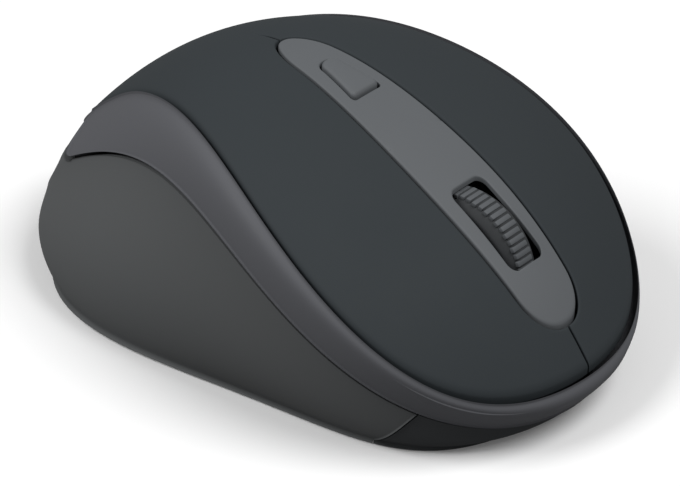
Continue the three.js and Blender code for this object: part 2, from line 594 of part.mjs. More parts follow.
function buildWheel() {
  const { y, z, radius, hub, width, axle, hubBore } = WHEEL;
  const ring = (half, inner, outer, crownHeight) => {
    const profile = [];
    const steps = 6;
    for (let i = 0; i <= steps; i += 1) {
      const s = 2 * i / steps - 1;
      profile.push(new THREE.Vector2(outer - crownHeight * Math.abs(s) ** 3, half * s));
    }
    profile.push(new THREE.Vector2(inner, half), new THREE.Vector2(inner, -half), profile[0]);
    const lathe = new THREE.LatheGeometry(profile, 48);
    return solid(lathe.rotateZ(-Math.PI / 2).translate(0, y, z));
  };
  add('wheel_tyre', ring(width / 2, hubBore, radius, 1.7), FINISH.rubber);

  const rim_ = crossBar(-width / 2 + 0.1, width / 2 - 0.1, y, z, hub, 40);
  const dish = (low, high) => cut(crossBar(low, high, y, z, hub - 1.3, 32), crossBar(low, high, y, z, 3));
  const hubSolid = cut(rim_, dish(-4, -1.2), dish(1.2, 4));
  add('wheel_hub', join(hubSolid, crossBar(-8.5, 11.9, y, z, axle, 20)), FINISH.white);

  const slots = [];
  for (let i = 0; i < 12; i += 1) {
    const tooth = new THREE.BoxGeometry(3, 0.9, 1.6).translate(9.1, 0, 4.3);
    slots.push(solid(tooth.rotateX(i * Math.PI / 6).translate(0, y, z)));
  }
  const disc = crossBar(8.6, 9.6, y, z, 5.5, 36);
  const bore = crossBar(8, 10, y, z, axle + GAP, 20);
  add('encoder_disc', cut(disc, bore, ...slots), FINISH.black);

  const arm = (x) => {
    const outline = [[10.5, 10], [38.4, 10], [38.4, 13.2], [27.8, 21.9], [22, 21.9], [10.5, 13.2]];
    const shape = new THREE.Shape(outline.map(([py, pz]) => new THREE.Vector2(py, pz)));
    const plate = new THREE.ExtrudeGeometry(shape, { depth: 1.4, bevelEnabled: false });
    const turned = plate.rotateX(Math.PI / 2).rotateZ(Math.PI / 2);
    return solid(turned.translate(x, 0, 0));
  };
  const rearBar = block([-6, 10.5, 10], [6, 12, 13]);
  const frontBar = block([-6, 36.9, 10], [6, 38.4, 13]);
  const cradle = join(arm(4.6), arm(-6), rearBar, frontBar);
  add('wheel_cradle', cut(cradle, crossBar(-9, 9, y, z, axle + GAP, 20)), FINISH.black);

  add('encoder_emitter', block([6.7, 21.6, SEAT], [8, 24.7, 16.5]), FINISH.lens);
  add('encoder_detector', block([10.2, 21.6, SEAT], [11.5, 24.7, 16.5]), FINISH.black);
}

/** Coil along X from x0 to x1, for a cell's spring contact. */
function coil(x0, x1, y, z) {
  class Coil extends THREE.Curve {
    getPoint(t, target = new THREE.Vector3()) {
      const a = t * 3 * 2 * Math.PI;
      const r = 3.2 - 1.2 * t;
      return target.set(x0 + (x1 - x0) * t, y + r * Math.cos(a), z + r * Math.sin(a));
    }
  }
  const wire = new THREE.Shape().absarc(0, 0, 0.3, 0, 2 * Math.PI);
  const options = { steps: 27, extrudePath: new Coil(), curveSegments: 3 };
  return solid(new THREE.ExtrudeGeometry(wire, options));
}

function buildPower() {
  const { radius, length, z } = CELL;
  const half = length / 2;
  CELL.y.forEach((y, i) => {
    const sign = i === 0 ? 1 : -1;
    const can = [[0, -half], [radius - 0.4, -half], [radius, -half + 0.4], [radius, half - 1.5],
      [radius - 0.4, half - 1.1], [1.9, half - 1.1], [1.9, half], [0, half]]
      .map(([r, h]) => new THREE.Vector2(r, h));
    const cell = new THREE.LatheGeometry(can, 24).rotateZ(-sign * Math.PI / 2);
    add(i === 0 ? 'battery_front' : 'battery_rear', solid(cell.translate(0, y, z)), FINISH.cell);
  });
  const [frontY, rearY] = CELL.y;
  const plate = (x, y0, y1) => block([x - 0.2, y0, 4.4], [x + 0.2, y1, 12.6]);
  const bump = (x0, x1, y) => crossBar(x0, x1, y, z, 2, 12);
  add('contact_link', join(plate(-24.1, rearY - 4, frontY + 4), bump(-24.2, -22.6, rearY),
    coil(-24, -22.7, frontY, z)), FINISH.steel);
  add('contact_positive', join(plate(24.1, frontY - 4, frontY + 4), bump(22.6, 24.2, frontY)),
    FINISH.steel);
  add('contact_negative', join(plate(24.1, rearY - 4, rearY + 4), coil(24, 22.7, rearY, z)),
    FINISH.steel);

  const { x, rear, capLength, plugLength, bottom, thick } = RECEIVER;
  const cap = new RoundedBoxGeometry(14.4, capLength, thick, 2, 0.6);
  add('receiver_cap', cap.translate(x, rear + capLength / 2, bottom + thick / 2), FINISH.black);
  const plugRear = rear + capLength + GAP;
  const shellBlock = block([x - 6, plugRear, bottom + 0.75], [x + 6, plugRear + plugLength - 0.6, bottom + 5.25]);
  const mouth = block([x - 5.6, plugRear + 3, bottom + 2.9], [x + 5.6, plugRear + 20, bottom + 4.9]);
  add('receiver_plug', cut(shellBlock, mouth), FINISH.tin);
}

buildCover();
buildStrip();
buildSpeedButton();
buildBand();
buildSideShell();
buildBase();
buildScrews();
buildBoard();
buildSwitches();
buildWheel();
buildPower();

export default mouse;
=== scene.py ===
"""A wireless computer mouse: the fine surfaces, finishes, floor, light and camera.

Sizes are millimetres and degrees unless a name says otherwise; meshes are stored in metres.
+Y is the nose, +X the user's right, +Z up, and Z = 0 is the table under the feet.
"""

import logging
import math
from dataclasses import dataclass, field
from enum import Enum
from typing import Callable, Iterable, Sequence

import bmesh
import bpy
import numpy as np
from mathutils import Matrix, Vector


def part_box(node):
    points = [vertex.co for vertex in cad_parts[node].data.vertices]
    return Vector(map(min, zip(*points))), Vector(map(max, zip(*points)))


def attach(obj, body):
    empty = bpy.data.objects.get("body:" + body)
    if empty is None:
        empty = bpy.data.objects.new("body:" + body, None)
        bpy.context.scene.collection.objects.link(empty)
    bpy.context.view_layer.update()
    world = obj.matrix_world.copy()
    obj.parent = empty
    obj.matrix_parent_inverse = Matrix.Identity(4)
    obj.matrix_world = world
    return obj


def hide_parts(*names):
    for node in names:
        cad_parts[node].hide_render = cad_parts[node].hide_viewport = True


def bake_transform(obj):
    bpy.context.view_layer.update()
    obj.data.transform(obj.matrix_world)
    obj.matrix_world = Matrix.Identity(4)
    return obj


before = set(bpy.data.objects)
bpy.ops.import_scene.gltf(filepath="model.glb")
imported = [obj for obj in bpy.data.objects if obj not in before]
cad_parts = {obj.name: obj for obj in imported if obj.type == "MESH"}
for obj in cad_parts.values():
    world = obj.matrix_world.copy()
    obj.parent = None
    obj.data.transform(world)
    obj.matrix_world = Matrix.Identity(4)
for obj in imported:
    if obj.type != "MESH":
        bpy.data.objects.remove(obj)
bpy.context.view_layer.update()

log = logging.getLogger("mouse")

MM = 0.001
DEG = math.pi / 180.0
EDGE_STEPS = np.array([0.0, 0.02, 0.06, 0.12, 0.2, 0.3, 0.43, 0.6])


# ---------------------------------------------------------------- the body's surfaces


@dataclass(frozen=True)
class BodyForm:
    """The sums that give the mouse its outer surface, as in the solid model.

    The angle `a` runs round the body: 0 at the nose, 180 degrees at the heel.
    """

    spine: tuple = (41.3, -11.3, -27.1, 23.6, -2.1, -22.2, -1.8, 7.8)
    square: tuple = (6.6e-3, -10.9e-3, 18.0e-3, 4.4e-3)
    fourth: tuple = (1.45e-6, -0.5e-6, -0.9e-6)
    rim_x: tuple = (27.4, 6.7, 0.0, -0.75)
    rim_y: tuple = (2.65, 48.65, -2.95, 0.9, -0.4)
    heel_tuck: float = 2.0
    seam_x: tuple = (30.0, 1.6, -0.2, -2.4)
    seam_y: tuple = (1.5, 49.2, -2.6, -0.65, -0.6)
    seam_z: tuple = (15.7, -6.4, -10.9, 3.7, 0.95)
    sole_x: tuple = (31.8, -0.9, 3.4, 0.85)
    sole_y: tuple = (-0.9, 43.9, -0.3, 0.4, -0.15)
    sole_z: float = 0.8
    band_out: tuple = (1.4, 2.4, 0.2)
    band_up: tuple = (1.7, 0.5, -1.2)
    wall_high: tuple = (1.0, -0.25, -0.2, 0.15)
    wall_low: tuple = (4.65, -2.05, -0.45, 0.8)
    tongue_start: float = 138 * DEG
    tongue_end: float = 152 * DEG
    tongue_power: float = 2.3
    nose_end: float = 47.5 * DEG
    ease_start: float = 146.0
    ease_span: float = 14.0
    ease_reach: float = 0.35
    band_wall: float = 1.3
    wall_growth: float = 0.5

    @staticmethod
    def sines(terms: Sequence[float], a: np.ndarray) -> np.ndarray:
        """Sum of sines of whole multiples of the angle."""
        return sum(c * np.sin((k + 1) * a) for k, c in enumerate(terms))

    @staticmethod
    def cosines(terms: Sequence[float], a: np.ndarray) -> np.ndarray:
        """Sum of cosines of whole multiples of the angle."""
        return sum(c * np.cos(k * a) for k, c in enumerate(terms))

    def crown(self, x: np.ndarray, y: np.ndarray) -> np.ndarray:
        """Height of the top cover at a plan point."""
        t = np.asarray(y) / 50.0
        x = np.asarray(x)
        spine, square, fourth = (
            np.polyval(terms[::-1], t) for terms in (self.spine, self.square, self.fourth)
        )
        return spine - square * x**2 - fourth * x**4

    def crown_depth(self, x: np.ndarray, y: np.ndarray, thickness: np.ndarray) -> np.ndarray:
        """Upright depth that gives the cover a wall of the wanted thickness."""
        step = 0.5
        slope_x = (self.crown(x + step, y) - self.crown(x - step, y)) / (2 * step)
        slope_y = (self.crown(x, y + step) - self.crown(x, y - step)) / (2 * step)
        return thickness * np.minimum(1.7, np.sqrt(1 + slope_x**2 + slope_y**2))

    @staticmethod
    def outward(a: np.ndarray) -> np.ndarray:
        """Level direction away from the body."""
        return np.stack([np.sin(a), 0.9 * np.cos(a), np.zeros_like(a)], -1)

    def rim(self, a: np.ndarray, offset: np.ndarray | float = 0.0) -> np.ndarray:
        """Edge of the top cover, moved outwards by an offset."""
        x = self.sines(self.rim_x, a)
        y = self.cosines(self.rim_y, a) + self.heel_tuck * ((1 - np.cos(a)) / 2) ** 12
        point = np.stack([x, y, self.crown(x, y)], -1)
        return point + self.outward(a) * np.asarray(offset)[..., None]

    def seam(self, a: np.ndarray) -> np.ndarray:
        """Lower edge of the side band."""
        terms = (self.sines(self.seam_x, a), self.cosines(self.seam_y, a))
        return np.stack([*terms, self.cosines(self.seam_z, a)], -1)

    def sole(self, a: np.ndarray) -> np.ndarray:
        """Lower edge of the side shell."""
        x, y = self.sines(self.sole_x, a), self.cosines(self.sole_y, a)
        return np.stack([x, y, np.full_like(x, self.sole_z)], -1)

    @staticmethod
    def rim_gap(a: np.ndarray) -> np.ndarray:
        """Half the gap between cover and band: wide at the nose, fine at the heel."""
        return 0.2 + 0.3 * (1 + np.cos(a)) / 2

    def side(self, a: np.ndarray, t: np.ndarray) -> np.ndarray:
        """Point on the side of the body.

        Args:
            a: angles round the body.
            t: 0 at the rim, 1 at the seam, 2 at the sole; the same shape as `a`.

        Returns:
            Points, with x, y and z on the last axis.
        """
        top, middle, bottom = self.rim(a, self.rim_gap(a)), self.seam(a), self.sole(a)
        out = self.outward(a)
        up = np.array([0.0, 0.0, 1.0])
        pull = (top + middle) / 2 + out * self.cosines(self.band_out, a)[..., None]
        pull = pull + up * self.cosines(self.band_up, a)[..., None]
        s = np.clip(t, 0, 1)[..., None]
        band = (1 - s) ** 2 * top + 2 * s * (1 - s) * pull + s**2 * middle
        high = middle + (bottom - middle) / 3 + out * self.cosines(self.wall_high, a)[..., None]
        low = middle + (bottom - middle) * 2 / 3 + out * self.cosines(self.wall_low, a)[..., None]
        s = np.clip(t - 1, 0, 1)[..., None]
        wall = (1 - s) ** 3 * middle + 3 * s * (1 - s) ** 2 * high
        wall = wall + 3 * s**2 * (1 - s) * low + s**3 * bottom
        return np.where((t <= 1)[..., None], band, wall)

    def side_eased(self, a: np.ndarray, t: np.ndarray) -> np.ndarray:
        """The side with its crease at the seam eased away behind the tongue."""
        behind = smooth_step((a_from_nose(a) / DEG - self.ease_start) / self.ease_span)
        reach = self.ease_reach * behind * np.sin(np.pi * t / 2)
        return (self.side(a, t - reach) + self.side(a, t + reach)) / 2

    def side_inner(self, a: np.ndarray, t: np.ndarray) -> np.ndarray:
        """Inside face of the side: straight below the rim, level inwards lower down."""
        turn = smooth_step((t - 0.15) / 0.85)
        thick = self.band_wall + self.wall_growth * turn
        point = self.side(a, t) - self.outward(a) * (thick * turn)[..., None]
        return point - np.array([0.0, 0.0, 1.0]) * (thick * (1 - turn))[..., None]

    def tongue_edge(self, a: np.ndarray, shift: float = 0.0) -> np.ndarray:
        """Where the band ends, as a share of the way from the rim to the seam."""
        span = self.tongue_end - self.tongue_start
        s = np.clip((a_from_nose(a) - shift - self.tongue_start) / span, 0, 1)
        return (1 - s**self.tongue_power) ** (1 / self.tongue_power)


@dataclass(frozen=True)
class StripForm:
    """Plan of the centre strip and of the openings in it."""

    rear: float = -10.5
    front: float = 43.9
    widest: float = 25.0
    half_width: float = 6.6
    power: float = 1.85
    rear_fall: float = 0.0047
    front_fall: float = 0.006
    rear_round: float = 6.5
    front_round: float = 5.0
    slot_half: float = 3.8
    slot_rear: float = 24.3
    slot_front: float = 36.8
    slot_corner: float = 1.5

    def half(self, y: np.ndarray) -> np.ndarray:
        """Half-width of the strip at stations along the mouse."""
        fall = np.where(y < self.widest, self.rear_fall, self.front_fall)
        width = self.half_width - fall * np.abs(y - self.widest) ** self.power
        rear = 1 - np.clip((y - self.rear) / self.rear_round, 0, 1)
        front = 1 - np.clip((self.front - y) / self.front_round, 0, 1)
        return width * (1 - rear**2.2) ** (1 / 2.2) * (1 - front**2.3) ** (1 / 2.3)

    def outline(self, grow: float = 0.0, count: int = 900) -> np.ndarray:
        """Right-hand outline from the front end to the rear tip, moved outwards."""
        along = (1 - np.cos(np.linspace(0, math.pi, count))) / 2
        y = self.front + (self.rear - self.front) * along
        edge = np.stack([self.half(y), y], -1)
        return edge + plan_normals(edge) * grow

    def slot(self, grow: float = 0.0) -> np.ndarray:
        """Closed outline of the wheel's slot."""
        low = (-self.slot_half - grow, self.slot_rear - grow)
        high = (self.slot_half + grow, self.slot_front + grow)
        return rounded_outline(low, high, self.slot_corner + grow)


@dataclass(frozen=True)
class SpeedForm:
    """Plan of the pointer-speed button: rounded behind, straight in front."""

    rear: float = -2.1
    front: float = 5.8
    rear_half: float = 1.8
    front_half: float = 2.9
    corner: float = 0.7

    def outline(self, grow: float = 0.0) -> np.ndarray:
        """Closed outline of the button, moved outwards."""
        rear, shoulder = self.rear - grow, self.rear + 1.6
        front, corner = self.front + grow, self.corner
        rear_half, front_half = self.rear_half + grow, self.front_half + grow
        right = [
            quadratic((0, rear), (rear_half, rear), (rear_half, shoulder), 24),
            quadratic(
                (front_half, front - corner),
                (front_half, front),
                (front_half - corner, front),
                16,
            ),
        ]
        right = np.concatenate(right)
        left = right[::-1] * np.array([-1, 1])
        return even_steps(np.concatenate([right, left, right[:1]]), 0.12)


BODY = BodyForm()
STRIP = StripForm()
SPEED = SpeedForm()


# ---------------------------------------------------------------- plan and curve helpers


def a_from_nose(a: np.ndarray) -> np.ndarray:
    """Angle away from the nose, 0 to 180 degrees, on either side."""
    return np.minimum(np.abs(a), 2 * math.pi - np.abs(a))


def smooth_step(t: np.ndarray) -> np.ndarray:
    """Smooth rise from 0 to 1 as t goes from 0 to 1."""
    t = np.clip(t, 0, 1)
    return t * t * (3 - 2 * t)


def plan_normals(edge: np.ndarray) -> np.ndarray:
    """Unit normals to the right of an outline that runs from front to rear on the +X side."""
    way = np.gradient(edge, axis=0)
    normal = np.stack([-way[:, 1], way[:, 0]], -1)
    return normal / np.maximum(np.linalg.norm(normal, axis=1, keepdims=True), 1e-12)


def quadratic(start: tuple, pull: tuple, end: tuple, count: int) -> np.ndarray:
    """Points along a quadratic curve."""
    t = np.linspace(0, 1, count)[:, None]
    start, pull, end = np.array(start, float), np.array(pull, float), np.array(end, float)
    return (1 - t) ** 2 * start + 2 * t * (1 - t) * pull + t**2 * end


def rounded_outline(low: tuple, high: tuple, radius: float, step: float = 0.12) -> np.ndarray:
    """Closed outline of a rectangle with rounded corners, counter-clockwise."""
    centres = [
        (high[0] - radius, high[1] - radius, 0),
        (low[0] + radius, high[1] - radius, 90),
        (low[0] + radius, low[1] + radius, 180),
        (high[0] - radius, low[1] + radius, 270),
    ]
    turn = np.linspace(0, 90, 17)
    arcs = [
        np.stack(
            [x + radius * np.cos((a + turn) * DEG), y + radius * np.sin((a + turn) * DEG)], -1
        )
        for x, y, a in centres
    ]
    ring = np.concatenate(arcs)
    return even_steps(np.concatenate([ring, ring[:1]]), step)


def lengths_along(line: np.ndarray) -> np.ndarray:
    """Distance along a line of points, for each point."""
    steps = np.linalg.norm(np.diff(line, axis=0), axis=1)
    return np.concatenate([[0.0], np.cumsum(steps)])


def at_lengths(line: np.ndarray, where: np.ndarray) -> np.ndarray:
    """Points of a line at given distances along it."""
    along = lengths_along(line)
    return np.stack([np.interp(where, along, line[:, k]) for k in range(line.shape[1])], -1)


def even_steps(line: np.ndarray, step: float) -> np.ndarray:
    """The same line with points about one step apart."""
    total = lengths_along(line)[-1]
    return at_lengths(line, np.linspace(0, total, max(3, int(total / step) + 1)))


def edge_spread(length: np.ndarray, count: int) -> np.ndarray:
    """Distances from 0 to a length, close together near both ends.

    Args:
        length: one length for each column.
        count: how many even steps lie between the fine ends.

    Returns:
        One row of distances for each column.
    """
    length = np.atleast_1d(length)[:, None]
    squeeze = np.minimum(1.0, length / (3 * EDGE_STEPS[-1]))
    start = EDGE_STEPS[None] * squeeze
    last = EDGE_STEPS[-1] * squeeze
    middle = last + (length - 2 * last) * np.linspace(0, 1, count)[None, 1:-1]
    return np.concatenate([start, middle, length - start[:, ::-1]], axis=1)


def distance_to(points: np.ndarray, line: np.ndarray) -> np.ndarray:
    """Distance from each point to the nearest part of a line."""
    flat = points.reshape(-1, points.shape[-1])
    start, way = line[:-1], np.diff(line, axis=0)
    square = np.maximum((way**2).sum(1), 1e-12)
    nearest = np.empty(len(flat))
    for low in range(0, len(flat), 2000):
        offset = flat[low : low + 2000, None] - start[None]
        t = np.clip((offset * way).sum(-1) / square, 0, 1)
        miss = offset - t[..., None] * way
        nearest[low : low + 2000] = np.sqrt((miss**2).sum(-1).min(1))
    return nearest.reshape(points.shape[:-1])


def round_off(distance: np.ndarray, radius: float) -> np.ndarray:
    """How far a rounded edge falls away at a distance from its border."""
    inside = np.clip(radius - distance, 0, radius)
    return radius - np.sqrt(radius**2 - inside**2)


# ---------------------------------------------------------------- finishes


class NodeLayout:
    """Lays shader nodes in a tree, one column after another."""

    def __init__(self, tree: bpy.types.NodeTree) -> None:
        """Keeps the tree that nodes are added to."""
        self.tree = tree
        self.count = 0

    def add(self, kind: str, **values: object) -> bpy.types.Node:
        """Adds a node.

        Args:
            kind: the node's type name.
            **values: settings of the node itself.

        Returns:
            The new node.
        """
        node = self.tree.nodes.new(kind)
        node.location = (180 * self.count, 0)
        self.count += 1
        for name, value in values.items():
            setattr(node, name, value)
        return node

    def join(self, source: bpy.types.NodeSocket, target: bpy.types.NodeSocket) -> None:
        """Links two sockets."""
        self.tree.links.new(source, target)


class GrainGroup:
    """Shader group for moulded plastic: a fine spark-eroded grain and faint mottling."""

    name = "moulded_grain"

    @classmethod
    def tree(cls) -> bpy.types.NodeTree:
        """The group, built the first time it is asked for."""
        known = bpy.data.node_groups.get(cls.name)
        if known:
            return known
        tree = bpy.data.node_groups.new(cls.name, "ShaderNodeTree")
        sockets = tree.interface
        for label, value in (
            ("Grain Size", 0.0002),
            ("Mottle", 0.05),
            ("Rough Low", 0.5),
            ("Rough High", 0.6),
        ):
            made = sockets.new_socket(label, in_out="INPUT", socket_type="NodeSocketFloat")
            made.default_value = value
        colour = sockets.new_socket("Tint", in_out="INPUT", socket_type="NodeSocketColor")
        colour.default_value = (0.5, 0.5, 0.5, 1)
        sockets.new_socket("Colour", in_out="OUTPUT", socket_type="NodeSocketColor")
        sockets.new_socket("Roughness", in_out="OUTPUT", socket_type="NodeSocketFloat")
        sockets.new_socket("Height", in_out="OUTPUT", socket_type="NodeSocketFloat")
        cls._wire(NodeLayout(tree))
        return tree

    @staticmethod
    def _wire(lay: NodeLayout) -> None:
        """Adds the group's nodes and links."""
        source, target = lay.add("NodeGroupInput"), lay.add("NodeGroupOutput")
        place = lay.add("ShaderNodeTexCoord")
        fine = lay.add("ShaderNodeMath", operation="DIVIDE")
        fine.inputs[0].default_value = 1.0
        lay.join(source.outputs["Grain Size"], fine.inputs[1])
        grain = lay.add("ShaderNodeTexNoise")
        grain.inputs["Detail"].default_value = 3.0
        grain.inputs["Roughness"].default_value = 0.62
        lay.join(place.outputs["Object"], grain.inputs["Vector"])
        lay.join(fine.outputs[0], grain.inputs["Scale"])
        pits = lay.add("ShaderNodeTexVoronoi")
        lay.join(place.outputs["Object"], pits.inputs["Vector"])
        lay.join(fine.outputs[0], pits.inputs["Scale"])
        height = lay.add("ShaderNodeMath", operation="MULTIPLY_ADD")
        height.inputs[1].default_value = 0.6
        lay.join(pits.outputs["Distance"], height.inputs[0])
        lay.join(grain.outputs["Fac"], height.inputs[2])
        lay.join(height.outputs[0], target.inputs["Height"])
        cloud = lay.add("ShaderNodeTexNoise")
        cloud.inputs["Scale"].default_value = 55.0
        cloud.inputs["Detail"].default_value = 4.0
        lay.join(place.outputs["Object"], cloud.inputs["Vector"])
        rough = lay.add("ShaderNodeMapRange")
        lay.join(cloud.outputs["Fac"], rough.inputs["Value"])
        rough.inputs["From Min"].default_value = 0.3
        rough.inputs["From Max"].default_value = 0.7
        lay.join(source.outputs["Rough Low"], rough.inputs["To Min"])
        lay.join(source.outputs["Rough High"], rough.inputs["To Max"])
        lay.join(rough.outputs["Result"], target.inputs["Roughness"])
        blend = lay.add("ShaderNodeMath", operation="ADD")
        lay.join(cloud.outputs["Fac"], blend.inputs[0])
        lay.join(grain.outputs["Fac"], blend.inputs[1])
        centred = lay.add("ShaderNodeMath", operation="SUBTRACT")
        lay.join(blend.outputs[0], centred.inputs[0])
        centred.inputs[1].default_value = 1.0
        gain = lay.add("ShaderNodeMath", operation="MULTIPLY_ADD")
        lay.join(centred.outputs[0], gain.inputs[0])
        lay.join(source.outputs["Mottle"], gain.inputs[1])
        gain.inputs[2].default_value = 1.0
        tint = lay.add("ShaderNodeVectorMath", operation="SCALE")
        lay.join(source.outputs["Tint"], tint.inputs[0])
        lay.join(gain.outputs[0], tint.inputs["Scale"])
        lay.join(tint.outputs["Vector"], target.inputs["Colour"])


@dataclass(frozen=True)
class Finish:
    """A finish: its colour as seen, its roughness, and the grain of the surface."""

    name: str
    colour: tuple
    rough: tuple = (0.5, 0.58)
    grain: float = 0.22
    depth: float = 0.012
    mottle: float = 0.05
    metallic: float = 0.0
    specular: float = 0.5
    transmission: float = 0.0
    coat: float = 0.0

    @staticmethod
    def linear(value: float) -> float:
        """Linear light for a display value from 0 to 255."""
        share = value / 255
        return share / 12.92 if share <= 0.04045 else ((share + 0.055) / 1.055) ** 2.4

    def material(self) -> bpy.types.Material:
        """The node material, built once."""
        known = bpy.data.materials.get(f"{self.name}_finish")
        if known:
            return known
        made = bpy.data.materials.new(f"{self.name}_finish")
        made.use_nodes = True
        made.node_tree.nodes.clear()
        lay = NodeLayout(made.node_tree)
        group = lay.add("ShaderNodeGroup", node_tree=GrainGroup.tree())
        group.inputs["Grain Size"].default_value = self.grain * MM
        group.inputs["Mottle"].default_value = self.mottle
        group.inputs["Rough Low"].default_value = self.rough[0]
        group.inputs["Rough High"].default_value = self.rough[1]
        group.inputs["Tint"].default_value = (*(self.linear(c) for c in self.colour), 1)
        bump = lay.add("ShaderNodeBump")
        bump.inputs["Strength"].default_value = 1.0
        bump.inputs["Distance"].default_value = self.depth * MM
        shader = lay.add("ShaderNodeBsdfPrincipled")
        shader.inputs["Metallic"].default_value = self.metallic
        shader.inputs["Specular IOR Level"].default_value = self.specular
        shader.inputs["Transmission Weight"].default_value = self.transmission
        shader.inputs["Coat Weight"].default_value = self.coat
        end = lay.add("ShaderNodeOutputMaterial")
        lay.join(group.outputs["Colour"], shader.inputs["Base Color"])
        lay.join(group.outputs["Roughness"], shader.inputs["Roughness"])
        lay.join(group.outputs["Height"], bump.inputs["Height"])
        lay.join(bump.outputs["Normal"], shader.inputs["Normal"])
        lay.join(shader.outputs["BSDF"], end.inputs["Surface"])
        made.diffuse_color = group.inputs["Tint"].default_value
        return made


class Palette(Enum):
    """Every finish on the mouse."""

    COVER = Finish("cover_plastic", (48, 53, 56), (0.7, 0.78), 0.20, 0.006, 0.05, specular=0.22)
    STRIP = Finish("strip_plastic", (91, 94, 97), (0.55, 0.62), 0.16, 0.004, 0.03, specular=0.3)
    BAND = Finish("band_plastic", (88, 89, 93), (0.62, 0.7), 0.18, 0.005, 0.03, specular=0.2)
    SIDE = Finish("side_plastic", (82, 84, 85), (0.6, 0.68), 0.22, 0.008, 0.04, specular=0.28)
    BASE = Finish("base_plastic", (54, 56, 58), (0.6, 0.7), 0.24, 0.010, 0.05, specular=0.25)
    TYRE = Finish("tyre_rubber", (54, 56, 58), (0.7, 0.8), 0.12, 0.006, 0.06, specular=0.25)
    # Ribs: the tyre's rubber painted lighter, a painted highlight standing for the light on the rib
    # tops.
    RIB_PAINTED_HIGHLIGHT = Finish("rib_rubber_painted_highlight", (84, 87, 90), (0.6, 0.7), 0.12, 0.004, 0.04, specular=0.3)
    FOOT = Finish("foot_plastic", (22, 23, 25), (0.3, 0.42), 0.30, 0.004, 0.05)
    WHITE = Finish("white_plastic", (206, 204, 196), (0.4, 0.5), 0.20, 0.006, 0.03)
    BLACK = Finish("black_plastic", (24, 25, 27), (0.4, 0.5), 0.16, 0.006, 0.06)
    BOARD = Finish("circuit_board", (26, 74, 50), (0.32, 0.45), 0.60, 0.010, 0.10, coat=0.3)
    CLEAR = Finish("clear_plastic", (232, 236, 238), (0.05, 0.09), 0.5, 0.001, 0.01, transmission=1.0)
    LAMP = Finish("lamp_plastic", (150, 30, 30), (0.1, 0.16), 0.4, 0.001, 0.03, transmission=0.6)
    STEEL = Finish("steel", (186, 189, 193), (0.24, 0.34), 0.10, 0.002, 0.04, 1.0)
    TIN = Finish("tinned_steel", (200, 200, 196), (0.3, 0.42), 0.25, 0.003, 0.06, 1.0)
    CELL = Finish("cell_jacket", (140, 145, 150), (0.3, 0.4), 0.4, 0.002, 0.04, 0.6)


# ---------------------------------------------------------------- mesh making


